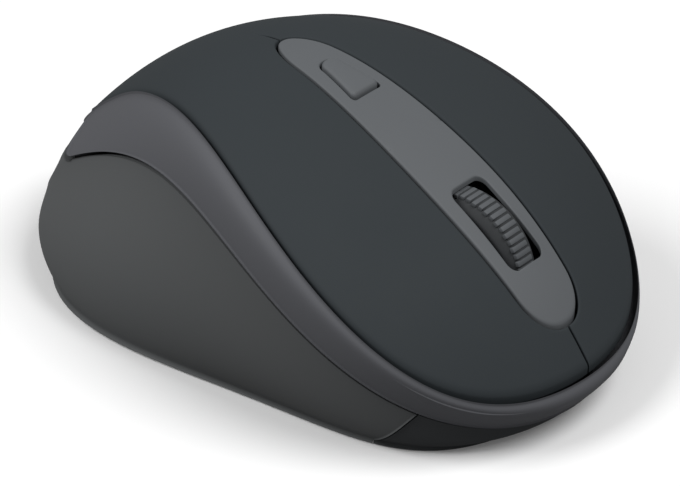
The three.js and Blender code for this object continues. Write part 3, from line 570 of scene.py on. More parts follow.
class Workshop:
    """Makes meshes from grids, outlines and cutters, and dresses them."""

    @staticmethod
    def finish_mesh(name: str, bm: bmesh.types.BMesh, sharp: float = 38.0) -> bpy.types.Object:
        """Turns a bmesh into a shown object at the origin, with smooth faces and crisp edges."""
        bmesh.ops.recalc_face_normals(bm, faces=bm.faces)
        for face in bm.faces:
            face.smooth = True
        mesh = bpy.data.meshes.new(name)
        bm.to_mesh(mesh)
        bm.free()
        mesh.set_sharp_from_angle(angle=sharp * DEG)
        made = bpy.data.objects.new(name, mesh)
        bpy.context.scene.collection.objects.link(made)
        return made

    @staticmethod
    def grid(points: np.ndarray) -> bmesh.types.BMesh:
        """A bmesh grid laid over rows and columns of points in millimetres."""
        columns, rows, _ = points.shape
        bm = bmesh.new()
        bmesh.ops.create_grid(bm, x_segments=columns - 1, y_segments=rows - 1, size=0.5)
        for vert in bm.verts:
            i = round((vert.co.x + 0.5) * (columns - 1))
            j = round((vert.co.y + 0.5) * (rows - 1))
            vert.co = points[i, j] * MM
        return bm

    @classmethod
    def shell(cls, points: np.ndarray) -> bmesh.types.BMesh:
        """A closed shell: each column of points is a closed loop, and open ends are filled."""
        loops = np.concatenate([points, points[:, :1]], axis=1)
        bm = cls.grid(loops)
        bmesh.ops.remove_doubles(bm, verts=bm.verts, dist=2e-7)
        bmesh.ops.dissolve_degenerate(bm, edges=bm.edges, dist=1e-8)
        rims = [edge for edge in bm.edges if edge.is_boundary]
        bmesh.ops.holes_fill(bm, edges=rims, sides=0)
        return bm

    @staticmethod
    def prism(outline: np.ndarray, bottom: float, top: float) -> bmesh.types.BMesh:
        """Upright prism of a closed plan outline."""
        bm = bmesh.new()
        ring = outline[:-1] if np.allclose(outline[0], outline[-1]) else outline
        verts = [bm.verts.new((x * MM, y * MM, bottom * MM)) for x, y in ring]
        face = bm.faces.new(verts)
        lifted = bmesh.ops.extrude_face_region(bm, geom=[face])
        moved = [g for g in lifted["geom"] if isinstance(g, bmesh.types.BMVert)]
        bmesh.ops.translate(bm, verts=moved, vec=(0, 0, (top - bottom) * MM))
        bmesh.ops.recalc_face_normals(bm, faces=bm.faces)
        return bm

    @staticmethod
    def soften(bm: bmesh.types.BMesh, width: float, segments: int = 3, angle: float = 30) -> None:
        """Rounds every edge that turns by more than an angle."""
        crisp = [e for e in bm.edges if len(e.link_faces) == 2 and e.calc_face_angle() > angle * DEG]
        bmesh.ops.bevel(
            bm,
            geom=crisp,
            offset=width * MM,
            offset_type="OFFSET",
            segments=segments,
            profile=0.5,
            affect="EDGES",
            clamp_overlap=True,
            material=-1,
        )

    @staticmethod
    def box(low: Sequence[float], high: Sequence[float]) -> bmesh.types.BMesh:
        """Box between two corners."""
        bm = bmesh.new()
        bmesh.ops.create_cube(bm, size=1.0)
        low, high = Vector(low) * MM, Vector(high) * MM
        bmesh.ops.scale(bm, verts=bm.verts, vec=high - low)
        bmesh.ops.translate(bm, verts=bm.verts, vec=(high + low) / 2)
        return bm

    @staticmethod
    def bar(centre: Sequence[float], radius: float, low: float, high: float) -> bmesh.types.BMesh:
        """Upright round bar."""
        bm = bmesh.new()
        bmesh.ops.create_cone(
            bm, cap_ends=True, segments=48, radius1=radius * MM, radius2=radius * MM,
            depth=(high - low) * MM,
        )
        middle = Vector((centre[0], centre[1], (low + high) / 2)) * MM
        bmesh.ops.translate(bm, verts=bm.verts, vec=middle)
        return bm

    @classmethod
    def carve(cls, piece: bpy.types.Object, cutters: Iterable[bmesh.types.BMesh]) -> None:
        """Cuts shapes out of a piece and keeps the result as its mesh."""
        for index, cutter in enumerate(cutters):
            tool = cls.finish_mesh(f"cutter_{index}", cutter)
            step = piece.modifiers.new("cut", "BOOLEAN")
            step.operation, step.object, step.solver = "DIFFERENCE", tool, "EXACT"
            cls.bake(piece)
            bpy.data.objects.remove(tool)

    @staticmethod
    def bake(piece: bpy.types.Object) -> None:
        """Applies a piece's modifiers to its mesh."""
        graph = bpy.context.evaluated_depsgraph_get()
        mesh = bpy.data.meshes.new_from_object(piece.evaluated_get(graph))
        piece.modifiers.clear()
        piece.data = mesh

    @staticmethod
    def dress(piece: bpy.types.Object, finish: Palette, slot: str | None = None) -> None:
        """Gives a piece its finish."""
        piece.data.materials.clear()
        piece.data.materials.append(finish.value.material())

    @staticmethod
    def join_all(parts: Sequence[bmesh.types.BMesh]) -> bmesh.types.BMesh:
        """Several bmeshes as one."""
        whole = bmesh.new()
        for part in parts:
            mesh = bpy.data.meshes.new("part")
            part.to_mesh(mesh)
            part.free()
            whole.from_mesh(mesh)
            bpy.data.meshes.remove(mesh)
        return whole


SHOP = Workshop()


class SubAssembly:
    """A group of pieces that is built, then dressed."""

    def build(self) -> list[bpy.types.Object]:
        """Makes the pieces; most of them are put on their bodies."""
        raise NotImplementedError


# ---------------------------------------------------------------- top cover


@dataclass
class TopCover(SubAssembly):
    """The dark top: two halves, each a key in front and the palm behind in one rigid piece."""

    slit_half: float = 0.17
    slit_end: float = -15.5
    opening_gap: float = 0.4
    edge_round: float = 0.42
    rim_round: float = 0.6
    wall: float = 1.5
    edge_wall: float = 0.95
    columns: int = 190
    rows: int = 52
    bend_start: float = -21.0
    bend_end: float = -12.0
    bend_height: float = 40.5

    def build(self) -> list[bpy.types.Object]:
        """Makes both halves."""
        return [self._half(1), self._half(-1)]

    def _edges(self) -> tuple[np.ndarray, np.ndarray]:
        """Matching points on the strip's opening and on the rim, from nose to heel."""
        opening = STRIP.outline(self.opening_gap)
        opening = opening[opening[:, 0] > self.slit_half]
        ends = [[self.slit_half, opening[0, 1]], [self.slit_half, opening[-1, 1]]]
        opening = np.concatenate([ends[:1], opening, ends[1:]])
        angles = np.linspace(0, math.pi, 1500)
        rim = BODY.rim(angles, -BODY.rim_gap(angles))[:, :2]
        keep = rim[:, 0] > self.slit_half
        nose = [[self.slit_half, rim[0, 1]]]
        rim = np.concatenate([nose, rim[keep], [[0.0, rim[-1, 1]]]])
        spans = [lengths_along(line)[-1] for line in (opening, rim)]
        along = [edge_spread(np.array([span]), self.columns)[0] for span in spans]
        return at_lengths(opening, along[0]), at_lengths(rim, along[1])

    def _borders(self, near: np.ndarray, far: np.ndarray) -> list[tuple[np.ndarray, float]]:
        """Plan borders of a half, each with the radius of its edge."""
        split = np.array([near[0], far[0]])
        tip = near[-1]
        slit = np.array([tip, [self.slit_half, tip[1] - 2], [0.0, self.slit_end]])
        return [
            (near, self.edge_round),
            (split, self.edge_round * 0.8),
            (slit, self.edge_round * 0.6),
            (far, self.rim_round),
        ]

    def _half(self, sign: int) -> bpy.types.Object:
        """Makes the half on one side."""
        near, far = self._edges()
        span = np.linalg.norm(far - near, axis=1)
        share = edge_spread(span, self.rows) / span[:, None]
        plan = near[:, None] + (far - near)[:, None] * share[..., None]
        ease = smooth_step((plan[-1, :, 1] - self.slit_end) / (near[-1, 1] - self.slit_end))
        plan[-1, :, 0] = self.slit_half * ease
        x, y = plan[..., 0], plan[..., 1]
        fall = np.zeros_like(x)
        for border, radius in self._borders(near, far):
            fall = np.maximum(fall, round_off(distance_to(plan, border), radius))
        outer = np.stack([x, y, BODY.crown(x, y) - fall], -1)
        pick = np.unique(np.linspace(0, share.shape[1] - 1, 16).round().astype(int))[::-1]
        x, y, across = x[:, pick], y[:, pick], share[:, pick]
        thick = self.wall + (self.edge_wall - self.wall) * across**6
        inner = np.stack([x, y, BODY.crown(x, y) - BODY.crown_depth(x, y, thick)], -1)
        points = np.concatenate([outer, inner], axis=1)
        points[..., 0] *= sign
        key, name = ("right_key", "cover_right") if sign > 0 else ("left_key", "cover_left")
        piece = SHOP.finish_mesh(name, SHOP.shell(points))
        SHOP.dress(piece, Palette.COVER, "cover_plastic")
        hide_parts(key, "palm_cover")
        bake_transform(piece)
        return piece


# ---------------------------------------------------------------- centre strip


@dataclass
class CentreStrip(SubAssembly):
    """The lighter strip down the middle, with the wheel's slot and the button's window."""

    parting: float = 15.0
    window_gap: float = 0.3
    thick: float = 1.5
    lip: float = 0.7
    edge_round: float = 0.3
    hole_round: float = 0.22
    rows: int = 26
    window_heart: tuple = (0.0, 2.0)
    slot_heart: tuple = (0.0, 30.5)

    def build(self) -> list[bpy.types.Object]:
        """Makes the strip."""
        window = SPEED.outline(self.window_gap)
        rear = self._ring(self.window_heart, window, front=False)
        front = self._ring(self.slot_heart, STRIP.slot(), front=True)
        bm = SHOP.join_all([SHOP.shell(rear), SHOP.shell(front)])
        inside = [
            f
            for f in bm.faces
            if all(abs(v.co.y - self.parting * MM) < 1e-7 for v in f.verts)
        ]
        bmesh.ops.delete(bm, geom=inside, context="FACES")
        bmesh.ops.remove_doubles(bm, verts=bm.verts, dist=5e-7)
        piece = SHOP.finish_mesh("centre_strip_skin", bm)
        SHOP.dress(piece, Palette.STRIP, "strip_plastic")
        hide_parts("centre_strip")
        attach(piece, "housing")
        return [piece]

    def _outer_line(self, front: bool) -> np.ndarray:
        """Closed border of one end of the strip, the parting line left out."""
        edge = STRIP.outline(0.0, 1400)
        part = edge[edge[:, 1] > self.parting] if front else edge[edge[:, 1] < self.parting]
        corner = [[float(STRIP.half(np.array(self.parting))), self.parting]]
        part = np.concatenate([part, corner]) if front else np.concatenate([corner, part])
        mirrored = part[::-1] * np.array([-1, 1])
        return np.concatenate([mirrored, part]) if front else np.concatenate([part, mirrored])

    def _ring(self, heart: tuple, hole: np.ndarray, front: bool) -> np.ndarray:
        """Loops of points from a hole's edge out to the strip's edge and back underneath.

        Args:
            heart: plan point inside the hole that the columns fan out from.
            hole: closed outline of the hole.
            front: True for the end with the wheel's slot.

        Returns:
            One closed loop of points for each column; the last column repeats the first.
        """
        heart = np.array(heart)
        border = self._outer_line(front)
        half = float(STRIP.half(np.array(self.parting)))
        cut = np.stack([np.linspace(half, -half, 27), np.full(27, self.parting)], -1)
        seam = cut[::-1] if front else cut
        closed = np.concatenate([border, seam if front else seam[::-1], border[:1]])

        def bearing(points: np.ndarray) -> np.ndarray:
            """Angle of points round the heart, away from the parting line's middle."""
            offset = points - heart
            turned = np.arctan2(offset[:, 0], -offset[:, 1] if front else offset[:, 1])
            return np.mod(turned + math.pi, 2 * math.pi) - math.pi

        def radius(line: np.ndarray, at: np.ndarray) -> np.ndarray:
            """Distance from the heart to a line at given angles."""
            angle, size = bearing(line), np.linalg.norm(line - heart, axis=1)
            order = np.argsort(angle)
            return np.interp(at, angle[order], size[order], period=2 * math.pi)

        seam_at = bearing(cut)
        low, high = seam_at.min(), seam_at.max()
        hole_at = bearing(hole)
        rest = hole_at[(hole_at > high + 0.004) | (hole_at < low - 0.004)]
        at = np.unique(np.concatenate([seam_at, rest]))
        at = np.concatenate([at, at[:1] + 2 * math.pi])
        way = np.stack([np.sin(at), -np.cos(at) if front else np.cos(at)], -1)
        wrapped = np.mod(at + math.pi, 2 * math.pi) - math.pi
        near = heart + way * radius(hole, wrapped)[:, None]
        far = heart + way * radius(closed, wrapped)[:, None]
        on_seam = (wrapped >= low - 1e-9) & (wrapped <= high + 1e-9)
        far[on_seam, 1] = self.parting
        span = np.linalg.norm(far - near, axis=1)
        share = edge_spread(span, self.rows) / span[:, None]
        plan = near[:, None] + (far - near)[:, None] * share[..., None]
        fall = np.maximum(
            round_off(distance_to(plan, hole), self.hole_round),
            round_off(distance_to(plan, border), self.edge_round),
        )
        x, y = plan[..., 0], plan[..., 1]
        outer = np.stack([x, y, BODY.crown(x, y) - fall], -1)
        pick = np.array([share.shape[1] - 1, share.shape[1] // 2, 0])
        x, y = x[:, pick], y[:, pick]
        thick = np.array([self.thick, self.thick, self.lip])
        inner = np.stack([x, y, BODY.crown(x, y) - BODY.crown_depth(x, y, thick)], -1)
        return np.concatenate([outer, inner], axis=1)


@dataclass
class SpeedButton(SubAssembly):
    """The raised pointer-speed button."""

    proud: float = 0.62
    dome: float = 0.12
    edge_round: float = 0.55
    deep: float = 2.4
    heart: tuple = (0.0, 2.0)
    stem_radius: float = 1.2
    stem_foot: float = 37.3

    def build(self) -> list[bpy.types.Object]:
        """Makes the button's cap and the stem under it."""
        edge = SPEED.outline()
        heart = np.array(self.heart)
        span = np.linalg.norm(edge - heart, axis=1)
        share = 1 - edge_spread(span, 14)[:, ::-1] / span[:, None]
        share = np.sort(share, axis=1)
        plan = heart + (edge - heart)[:, None] * share[..., None]
        x, y = plan[..., 0], plan[..., 1]
        inset = distance_to(plan, edge)
        dome = self.dome * (1 - np.exp(-inset))
        top = BODY.crown(x, y) + self.proud + dome - self.dome - round_off(inset, self.edge_round)
        outer = np.stack([x, y, top], -1)
        x, y = plan[:, ::-10, 0], plan[:, ::-10, 1]
        bottom = BODY.crown(x, y) - self.deep
        inner = np.stack([x, y, bottom], -1)
        middle = np.broadcast_to([*heart, float(BODY.crown(*heart)) - self.deep], inner[:, :1].shape)
        points = np.concatenate([outer, inner, middle], axis=1)
        bm = SHOP.grid(points)
        bmesh.ops.remove_doubles(bm, verts=bm.verts, dist=2e-7)
        rims = [e for e in bm.edges if e.is_boundary]
        bmesh.ops.holes_fill(bm, edges=rims, sides=0)
        stem_top = float(BODY.crown(*self.heart)) - self.deep + 0.3
        stem = SHOP.bar(self.heart, self.stem_radius, self.stem_foot, stem_top)
        piece = SHOP.finish_mesh("speed_button_cap", SHOP.join_all([bm, stem]))
        SHOP.dress(piece, Palette.STRIP, "strip_plastic")
        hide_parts("dpi_button")
        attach(piece, "dpi_button")
        return [piece]


# ---------------------------------------------------------------- sides


@dataclass
class SideWalls(SubAssembly):
    """The side band under the cover's rim and the side shell below it."""

    band_top_round: float = 0.45
    band_low_round: float = 0.3
    step: float = 0.05
    nose_step: float = 0.7
    nose_tuck: float = 0.15
    heel_step: float = 0.5
    heel_tuck: float = 0.06
    heel_start: float = 126.0
    heel_span: float = 18.0
    shell_top_round: float = 0.25
    shell_low_round: float = 0.7
    end_gap: float = 0.35
    tongue_gap: float = 0.3
    tongue_lead: float = 1.1

    def build(self) -> list[bpy.types.Object]:
        """Makes the band and the shell."""
        return [self._band(), self._shell()]

    @staticmethod
    def _rows(
        surface: Callable, a: np.ndarray, start: np.ndarray, end: np.ndarray, count: int
    ) -> np.ndarray:
        """Values of t along each station, spread by real distance with fine ends."""
        fine = start[:, None] + (end - start)[:, None] * np.linspace(0, 1, 160)[None]
        points = surface(np.broadcast_to(a[:, None], fine.shape), fine)
        steps = np.linalg.norm(np.diff(points, axis=1), axis=2)
        along = np.concatenate([np.zeros((len(a), 1)), np.cumsum(steps, axis=1)], axis=1)
        wanted = edge_spread(np.maximum(along[:, -1], 1e-9), count)
        rows = [np.interp(w, line, t) for w, line, t in zip(wanted, along, fine)]
        return np.array(rows)

    @staticmethod
    def _normals(surface: Callable, a: np.ndarray, t: np.ndarray) -> np.ndarray:
        """Unit outward normals of a surface given by angle and t."""
        h = 1e-3
        low, high = np.maximum(t - h, 0), np.minimum(t + h, 2)
        down = surface(a, high) - surface(a, low)
        round_ = surface(a + h, t) - surface(a - h, t)
        normal = np.cross(down, round_)
        return normal / np.maximum(np.linalg.norm(normal, axis=-1, keepdims=True), 1e-12)

    def panel(
        self,
        surface: Callable,
        a: np.ndarray,
        start: np.ndarray,
        end: np.ndarray,
        count: int,
        rounds: tuple,
    ) -> np.ndarray:
        """Loops of points for a curved panel of the side.

        Args:
            surface: the panel's outer surface, a function of angle and t.
            a: angles of the stations.
            start: t at the upper edge of each station.
            end: t at the lower edge of each station.
            count: even rows between the fine ends.
            rounds: edge radii: upper, lower, and the two ends.

        Returns:
            One closed loop of points for each station.
        """
        t = self._rows(surface, a, start, end, count)
        grid_a = np.broadcast_to(a[:, None], t.shape)
        outer = surface(grid_a, t)
        normal = self._normals(surface, grid_a, t)
        borders = [(outer[:, 0], rounds[0]), (outer[:, -1], rounds[1])]
        if rounds[2]:
            borders += [(outer[0], rounds[2]), (outer[-1], rounds[2])]
        fall = np.zeros_like(t)
        for border, radius in borders:
            fall = np.maximum(fall, round_off(distance_to(outer, border), radius))
        pick = np.unique(np.linspace(0, t.shape[1] - 1, 9).round().astype(int))[::-1]
        inner = BODY.side_inner(grid_a[:, pick], t[:, pick])
        return np.concatenate([outer - normal * fall[..., None], inner], axis=1)

    def _settle(self, point: np.ndarray, a: np.ndarray, t: np.ndarray) -> np.ndarray:
        """Sets the upper edge a step below the cover's edge at the nose and at the heel."""
        nose = (1 + np.cos(a)) / 2
        heel = smooth_step((a_from_nose(a) / DEG - self.heel_start) / self.heel_span)
        fade = (1 - np.clip(t, 0, 1)) ** 2
        down = (self.step + self.nose_step * nose + self.heel_step * heel) * fade
        inward = (self.nose_tuck * nose + self.heel_tuck * heel) * fade
        point = point - BODY.outward(a) * inward[..., None]
        return point - np.array([0.0, 0.0, 1.0]) * down[..., None]

    def _band_face(self, a: np.ndarray, t: np.ndarray) -> np.ndarray:
        """The band's outer face."""
        return self._settle(BODY.side(a, t), a, t)

    def _shell_face(self, a: np.ndarray, t: np.ndarray) -> np.ndarray:
        """The shell's outer face."""
        return self._settle(BODY.side_eased(a, t), a, t)

    def _band(self) -> bpy.types.Object:
        """The band: from a tongue on one side, round the nose, to a tongue on the other."""
        steady = np.linspace(0, BODY.tongue_start, 130)
        late = 1 - (1 - np.linspace(0, 1, 46)[1:]) ** 2
        tongue = BODY.tongue_start + (BODY.tongue_end - BODY.tongue_start) * late
        half = np.concatenate([steady, tongue])
        a = np.concatenate([-half[:0:-1], half])
        edge = BODY.tongue_edge(a)
        height = np.linalg.norm(BODY.rim(a) - BODY.seam(a), axis=1)
        end = np.maximum(edge - np.minimum(self.tongue_gap / 2 / height, edge), 0)
        rounds = (self.band_top_round, self.band_low_round, 0)
        points = self.panel(self._band_face, a, np.zeros_like(a), end, 20, rounds)
        piece = SHOP.finish_mesh("side_band_skin", SHOP.shell(points))
        SHOP.dress(piece, Palette.BAND, "band_plastic")
        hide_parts("side_band")
        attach(piece, "housing")
        return piece

    def _shell(self) -> bpy.types.Object:
        """The side shell, from behind the nose on one side round the heel to the other."""
        first = BODY.nose_end + self.end_gap * DEG
        fine = first + EDGE_STEPS / 55.0
        steady = np.linspace(fine[-1], 134 * DEG, 110)[1:]
        tongue = np.linspace(134 * DEG, 154 * DEG, 60)[1:]
        heel = np.linspace(154 * DEG, math.pi, 26)[1:]
        half = np.concatenate([fine, steady, tongue, heel])
        a = np.concatenate([half, 2 * math.pi - half[-2::-1]])
        edge = BODY.tongue_edge(a, self.tongue_lead * DEG)
        low = np.linalg.norm(BODY.seam(a) - BODY.sole(a), axis=1)
        high = np.linalg.norm(BODY.rim(a) - BODY.seam(a), axis=1)
        start = edge + self.tongue_gap / np.where(edge >= 1, low, high)
        rounds = (self.shell_top_round, self.shell_low_round, self.shell_top_round)
        end = np.full_like(a, 2.0)
        points = self.panel(self._shell_face, a, start, end, 44, rounds)
        piece = SHOP.finish_mesh("side_shell_skin", SHOP.shell(points))
        SHOP.dress(piece, Palette.SIDE, "side_plastic")
        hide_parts("side_shell")
        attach(piece, "housing")
        return piece


# ---------------------------------------------------------------- base


@dataclass
class Base(SubAssembly):
    """The dark base: floor with its recesses, nose wall, battery bay and receiver pocket."""

    floor_low: float = 0.8
    floor_high: float = 2.8
    side_inset: float = 2.1
    nose_inset: float = 0.4
    bay: tuple = ((-23.8, -24.5), (23.8, -2.7))
    bay_walls: tuple = ((-24.6, -24.9), (24.6, -2.3))
    bay_top: float = 9.0
    pocket: tuple = ((8.1, -0.3), (23.1, 19.0))
    pocket_top: float = 7.4
    front_seat: tuple = ((-13.3, 31.7), (13.3, 37.3))
    rear_seat: tuple = ((-12.3, -37.3), (12.3, -31.7))
    slider_seat: tuple = ((-19.0, 6.0), (-13.0, 17.0))
    slider_slot: tuple = ((-17.1, 8.9), (-14.9, 14.1))
    light_window: tuple = (0.0, 5.0)
    walls: SideWalls = field(default_factory=SideWalls)

    def build(self) -> list[bpy.types.Object]:
        """Makes the base shell."""
        a = np.linspace(-math.pi, math.pi, 361)[:-1]
        at_nose = np.abs(a) < BODY.nose_end - 4 * DEG
        inset = np.where(at_nose, self.nose_inset, self.side_inset)
        ring = (BODY.sole(a) - BODY.outward(a) * inset[:, None])[:, :2]
        floor = SHOP.finish_mesh("base_shell_skin", SHOP.prism(ring, self.floor_low, self.floor_high))
        SHOP.carve(floor, self._cutters())
        parts = bmesh.new()
        parts.from_mesh(floor.data)
        bpy.data.objects.remove(floor)
        whole = SHOP.join_all([parts, self._nose_wall(), *self._wells(), *self._posts()])
        piece = SHOP.finish_mesh("base_shell_skin", whole, 30)
        SHOP.dress(piece, Palette.BASE, "base_plastic")
        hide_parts("base_shell")
        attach(piece, "housing")
        return [piece]

    def _cutters(self) -> list[bmesh.types.BMesh]:
        """Shapes cut out of the floor."""
        sunk = (
            (self.bay, 0.8, 4),
            (self.pocket, 0.6, 4),
            (self.front_seat, 2.8, 1.3),
            (self.rear_seat, 2.8, 1.3),
            (self.slider_seat, 1.0, 1.7),
            (self.slider_slot, 0.5, 4),
        )
        return [
            *(SHOP.prism(rounded_outline(*plan, corner, 0.4), 0, top) for plan, corner, top in sunk),
            SHOP.bar(self.light_window, 4.3, 0, 4),
            *(SHOP.bar((x, -34.5), 2.3, 0, 3.6) for x in (-8, 8)),
        ]

    def _nose_wall(self) -> bmesh.types.BMesh:
        """The wall round the nose, below the band."""
        last = BODY.nose_end
        fine = last - EDGE_STEPS[::-1] / 55.0
        half = np.concatenate([np.linspace(0, fine[0], 50)[:-1], fine])
        a = np.concatenate([-half[:0:-1], half])
        start = 1 + 0.2 / np.linalg.norm(BODY.seam(a) - BODY.sole(a), axis=1)
        rounds = (0.25, 0.7, 0.25)
        points = self.walls.panel(BODY.side, a, start, np.full_like(a, 2.0), 16, rounds)
        return SHOP.shell(points)

    def _wells(self) -> list[bmesh.types.BMesh]:
        """Walls round the battery bay and the receiver's pocket."""
        made = []
        bottom = self.floor_high - 0.5
        for (low, high), wall, top in (
            (self.bay_walls, 1.0, self.bay_top),
            (self.pocket, 0.8, self.pocket_top),
        ):
            x0, y0, x1, y1 = *low, *high
            for a, b in (
                ((x0 - wall, y0 - wall), (x1 + wall, y0)),
                ((x0 - wall, y1), (x1 + wall, y1 + wall)),
                ((x0 - wall, y0), (x0, y1)),
                ((x1, y0), (x1 + wall, y1)),
            ):
                side = SHOP.box((*a, bottom), (*b, top))
                SHOP.soften(side, 0.12, 2)
                made.append(side)
        roof = SHOP.box((7.3, -1.1, 7.3), (23.9, 19.8, 8.2))
        SHOP.soften(roof, 0.2, 2)
        return [*made, roof]

    def _posts(self) -> list[bmesh.types.BMesh]:
        """Guides for the wheel's cradle and seats for the screws."""
        made = []
        for x, y in ((-7.6, 12.5), (7.6, 12.5), (-7.6, 36.6), (7.6, 36.6)):
            post = SHOP.box((x - 1, y - 1, 2), (x + 1, y + 1, 13))
            SHOP.soften(post, 0.2, 2)
            made.append(post)
        made += [SHOP.bar((19.3 * s, 24.2), 2.2, 2, 3.9) for s in (-1, 1)]
        return made


@dataclass
class Underside(SubAssembly):
    """What shows under the base: the feet, battery door, power slider and receiver."""

    def build(self) -> list[bpy.types.Object]:
        """Makes the underside's pieces."""
        return [
            self._foot("front_foot", (-13, 32), (13, 37), 2.5),
            self._foot("rear_foot", (-12, -37), (12, -32), 2.5),
            self._door(),
            self._slider(),
            self._receiver(),
        ]

    @staticmethod
    def _foot(node: str, low: tuple, high: tuple, radius: float) -> bpy.types.Object:
        """A slick glide pad with a rounded edge."""
        bm = SHOP.prism(rounded_outline(low, high, radius, 0.5), 0, 1.0)
        SHOP.soften(bm, 0.22, 3, 60)
        piece = SHOP.finish_mesh(f"{node}_pad", bm)
        SHOP.dress(piece, Palette.FOOT, "foot_plastic")
        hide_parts(node)
        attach(piece, "housing")
        return piece

    @staticmethod
    def _door() -> bpy.types.Object:
        """The battery door, with a thumb hold of fine grooves."""
        plate = SHOP.prism(rounded_outline((-23.5, -24.2), (23.5, -3), 1.5, 0.5), 0.8, 2.3)
        SHOP.soften(plate, 0.25, 3, 60)
        piece = SHOP.finish_mesh("battery_door_plate", plate)
        dent = SHOP.prism(rounded_outline((-8, -23.2), (8, -17.2), 2.4, 0.5), 0.4, 1.05)
        grooves = []
        for k in range(4):
            y = -22.2 + 1.4 * k
            grooves.append(SHOP.prism(rounded_outline((-6, y), (6, y + 0.6), 0.28, 0.2), 0.4, 1.3))
        SHOP.carve(piece, [dent, *grooves])
        piece.data.set_sharp_from_angle(angle=35 * DEG)
        SHOP.dress(piece, Palette.BASE, "base_plastic")
        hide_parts("battery_door")
        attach(piece, "battery_door")
        return piece

    @staticmethod
    def _slider() -> bpy.types.Object:
        """The power slider, with three cross ribs."""
        knob = SHOP.prism(rounded_outline((-18.3, 7.4), (-13.7, 12.6), 0.8, 0.3), 0.75, 1.4)
        SHOP.soften(knob, 0.15, 3, 60)
        parts = [knob, SHOP.box((-16.8, 9.2, 1.2), (-15.2, 10.8, 2.8))]
        for y in (8.6, 10.0, 11.4):
            rib = SHOP.box((-17.6, y - 0.3, 0.5), (-14.4, y + 0.3, 0.95))
            SHOP.soften(rib, 0.14, 3)
            parts.append(rib)
        piece = SHOP.finish_mesh("power_slider_knob", SHOP.join_all(parts))
        SHOP.dress(piece, Palette.WHITE, "white_plastic")
        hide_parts("power_slider")
        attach(piece, "power_slider")
        return piece

    @staticmethod
    def _receiver() -> bpy.types.Object:
        """The receiver's cap, with grip ribs across its face."""
        low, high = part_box("receiver_cap")
        low, high = low / MM, high / MM
        cap = SHOP.box(low, high)
        SHOP.soften(cap, 0.7, 4)
        parts = [cap]
        for k in range(3):
            y = low.y + 1.6 + 1.6 * k
            rib = SHOP.box((low.x + 1.6, y, low.z - 0.18), (high.x - 1.6, y + 0.6, low.z + 0.3))
            SHOP.soften(rib, 0.16, 3)
            parts.append(rib)
        piece = SHOP.finish_mesh("receiver_cap_grip", SHOP.join_all(parts))
        SHOP.dress(piece, Palette.BLACK, "black_plastic")
        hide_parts("receiver_cap")
        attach(piece, "receiver")
        return piece


# ---------------------------------------------------------------- wheel


@dataclass
class ScrollWheel(SubAssembly):
    """The rubber tyre with its band of cross ribs."""

    y: float = 25.5
    z: float = 18.6
    radius: float = 11.72
    width: float = 6.1
    bore: float = 9.1
    rib_count: int = 65
    rib_length: float = 3.35
    rib_top: float = 11.88
    rib_foot: float = 11.2
    rib_share: float = 0.7
    crowning: float = 1.7
    stagger: float = 0.08
    rib_shift: float = 0.45

    def build(self) -> list[bpy.types.Object]:
        """Makes the tyre and its ribs."""
        return [self._tyre(), self._ribs()]

    def _tyre(self) -> bpy.types.Object:
        """The tyre: a crowned section spun round the axle."""
        half = self.width / 2
        s = np.linspace(-1, 1, 41)
        sink = self.crowning * np.abs(s) ** 3.2
        outside = [(half * k, self.radius - d) for k, d in zip(s, sink)]
        bm = bmesh.new()
        section = [*outside, (half, self.bore), (-half, self.bore)]
        verts = [bm.verts.new((x * MM, self.y * MM, (self.z + r) * MM)) for x, r in section]
        edges = [bm.edges.new((verts[k - 1], verts[k])) for k in range(len(verts))]
        bmesh.ops.spin(
            bm,
            geom=[*verts, *edges],
            cent=(0, self.y * MM, self.z * MM),
            axis=(1, 0, 0),
            angle=2 * math.pi,
            steps=168,
            use_merge=True,
        )
        bmesh.ops.remove_doubles(bm, verts=bm.verts, dist=1e-7)
        piece = SHOP.finish_mesh("wheel_tyre_rubber", bm, 40)
        SHOP.dress(piece, Palette.TYRE, "tyre_rubber")
        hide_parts("wheel_tyre")
        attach(piece, "wheel")
        return piece

    def _ribs(self) -> bpy.types.Object:
        """Cross ribs standing out of the tyre, every other one set a little to the side."""
        thick = 2 * math.pi * self.rib_top / self.rib_count * self.rib_share
        parts = []
        for k in range(self.rib_count):
            shift = self.rib_shift + self.stagger * (1 if k % 2 else -1)
            half = self.rib_length / 2
            low = (shift - half, -thick / 2, self.rib_foot)
            rib = SHOP.box(low, (shift + half, thick / 2, self.rib_top))
            SHOP.soften(rib, 0.16, 2)
            turn = Matrix.Rotation(2 * math.pi * k / self.rib_count, 3, "X")
            bmesh.ops.rotate(rib, verts=rib.verts, cent=(0, 0, 0), matrix=turn)
            bmesh.ops.translate(rib, verts=rib.verts, vec=(0, self.y * MM, self.z * MM))
            parts.append(rib)
        piece = SHOP.finish_mesh("wheel_ribs", SHOP.join_all(parts))
        # The ribs take a lighter colour than the tyre's rubber: a painted highlight for the light
        # falling on their tops.
        SHOP.dress(piece, Palette.RIB_PAINTED_HIGHLIGHT)
        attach(piece, "wheel")
        return piece


# ---------------------------------------------------------------- inside


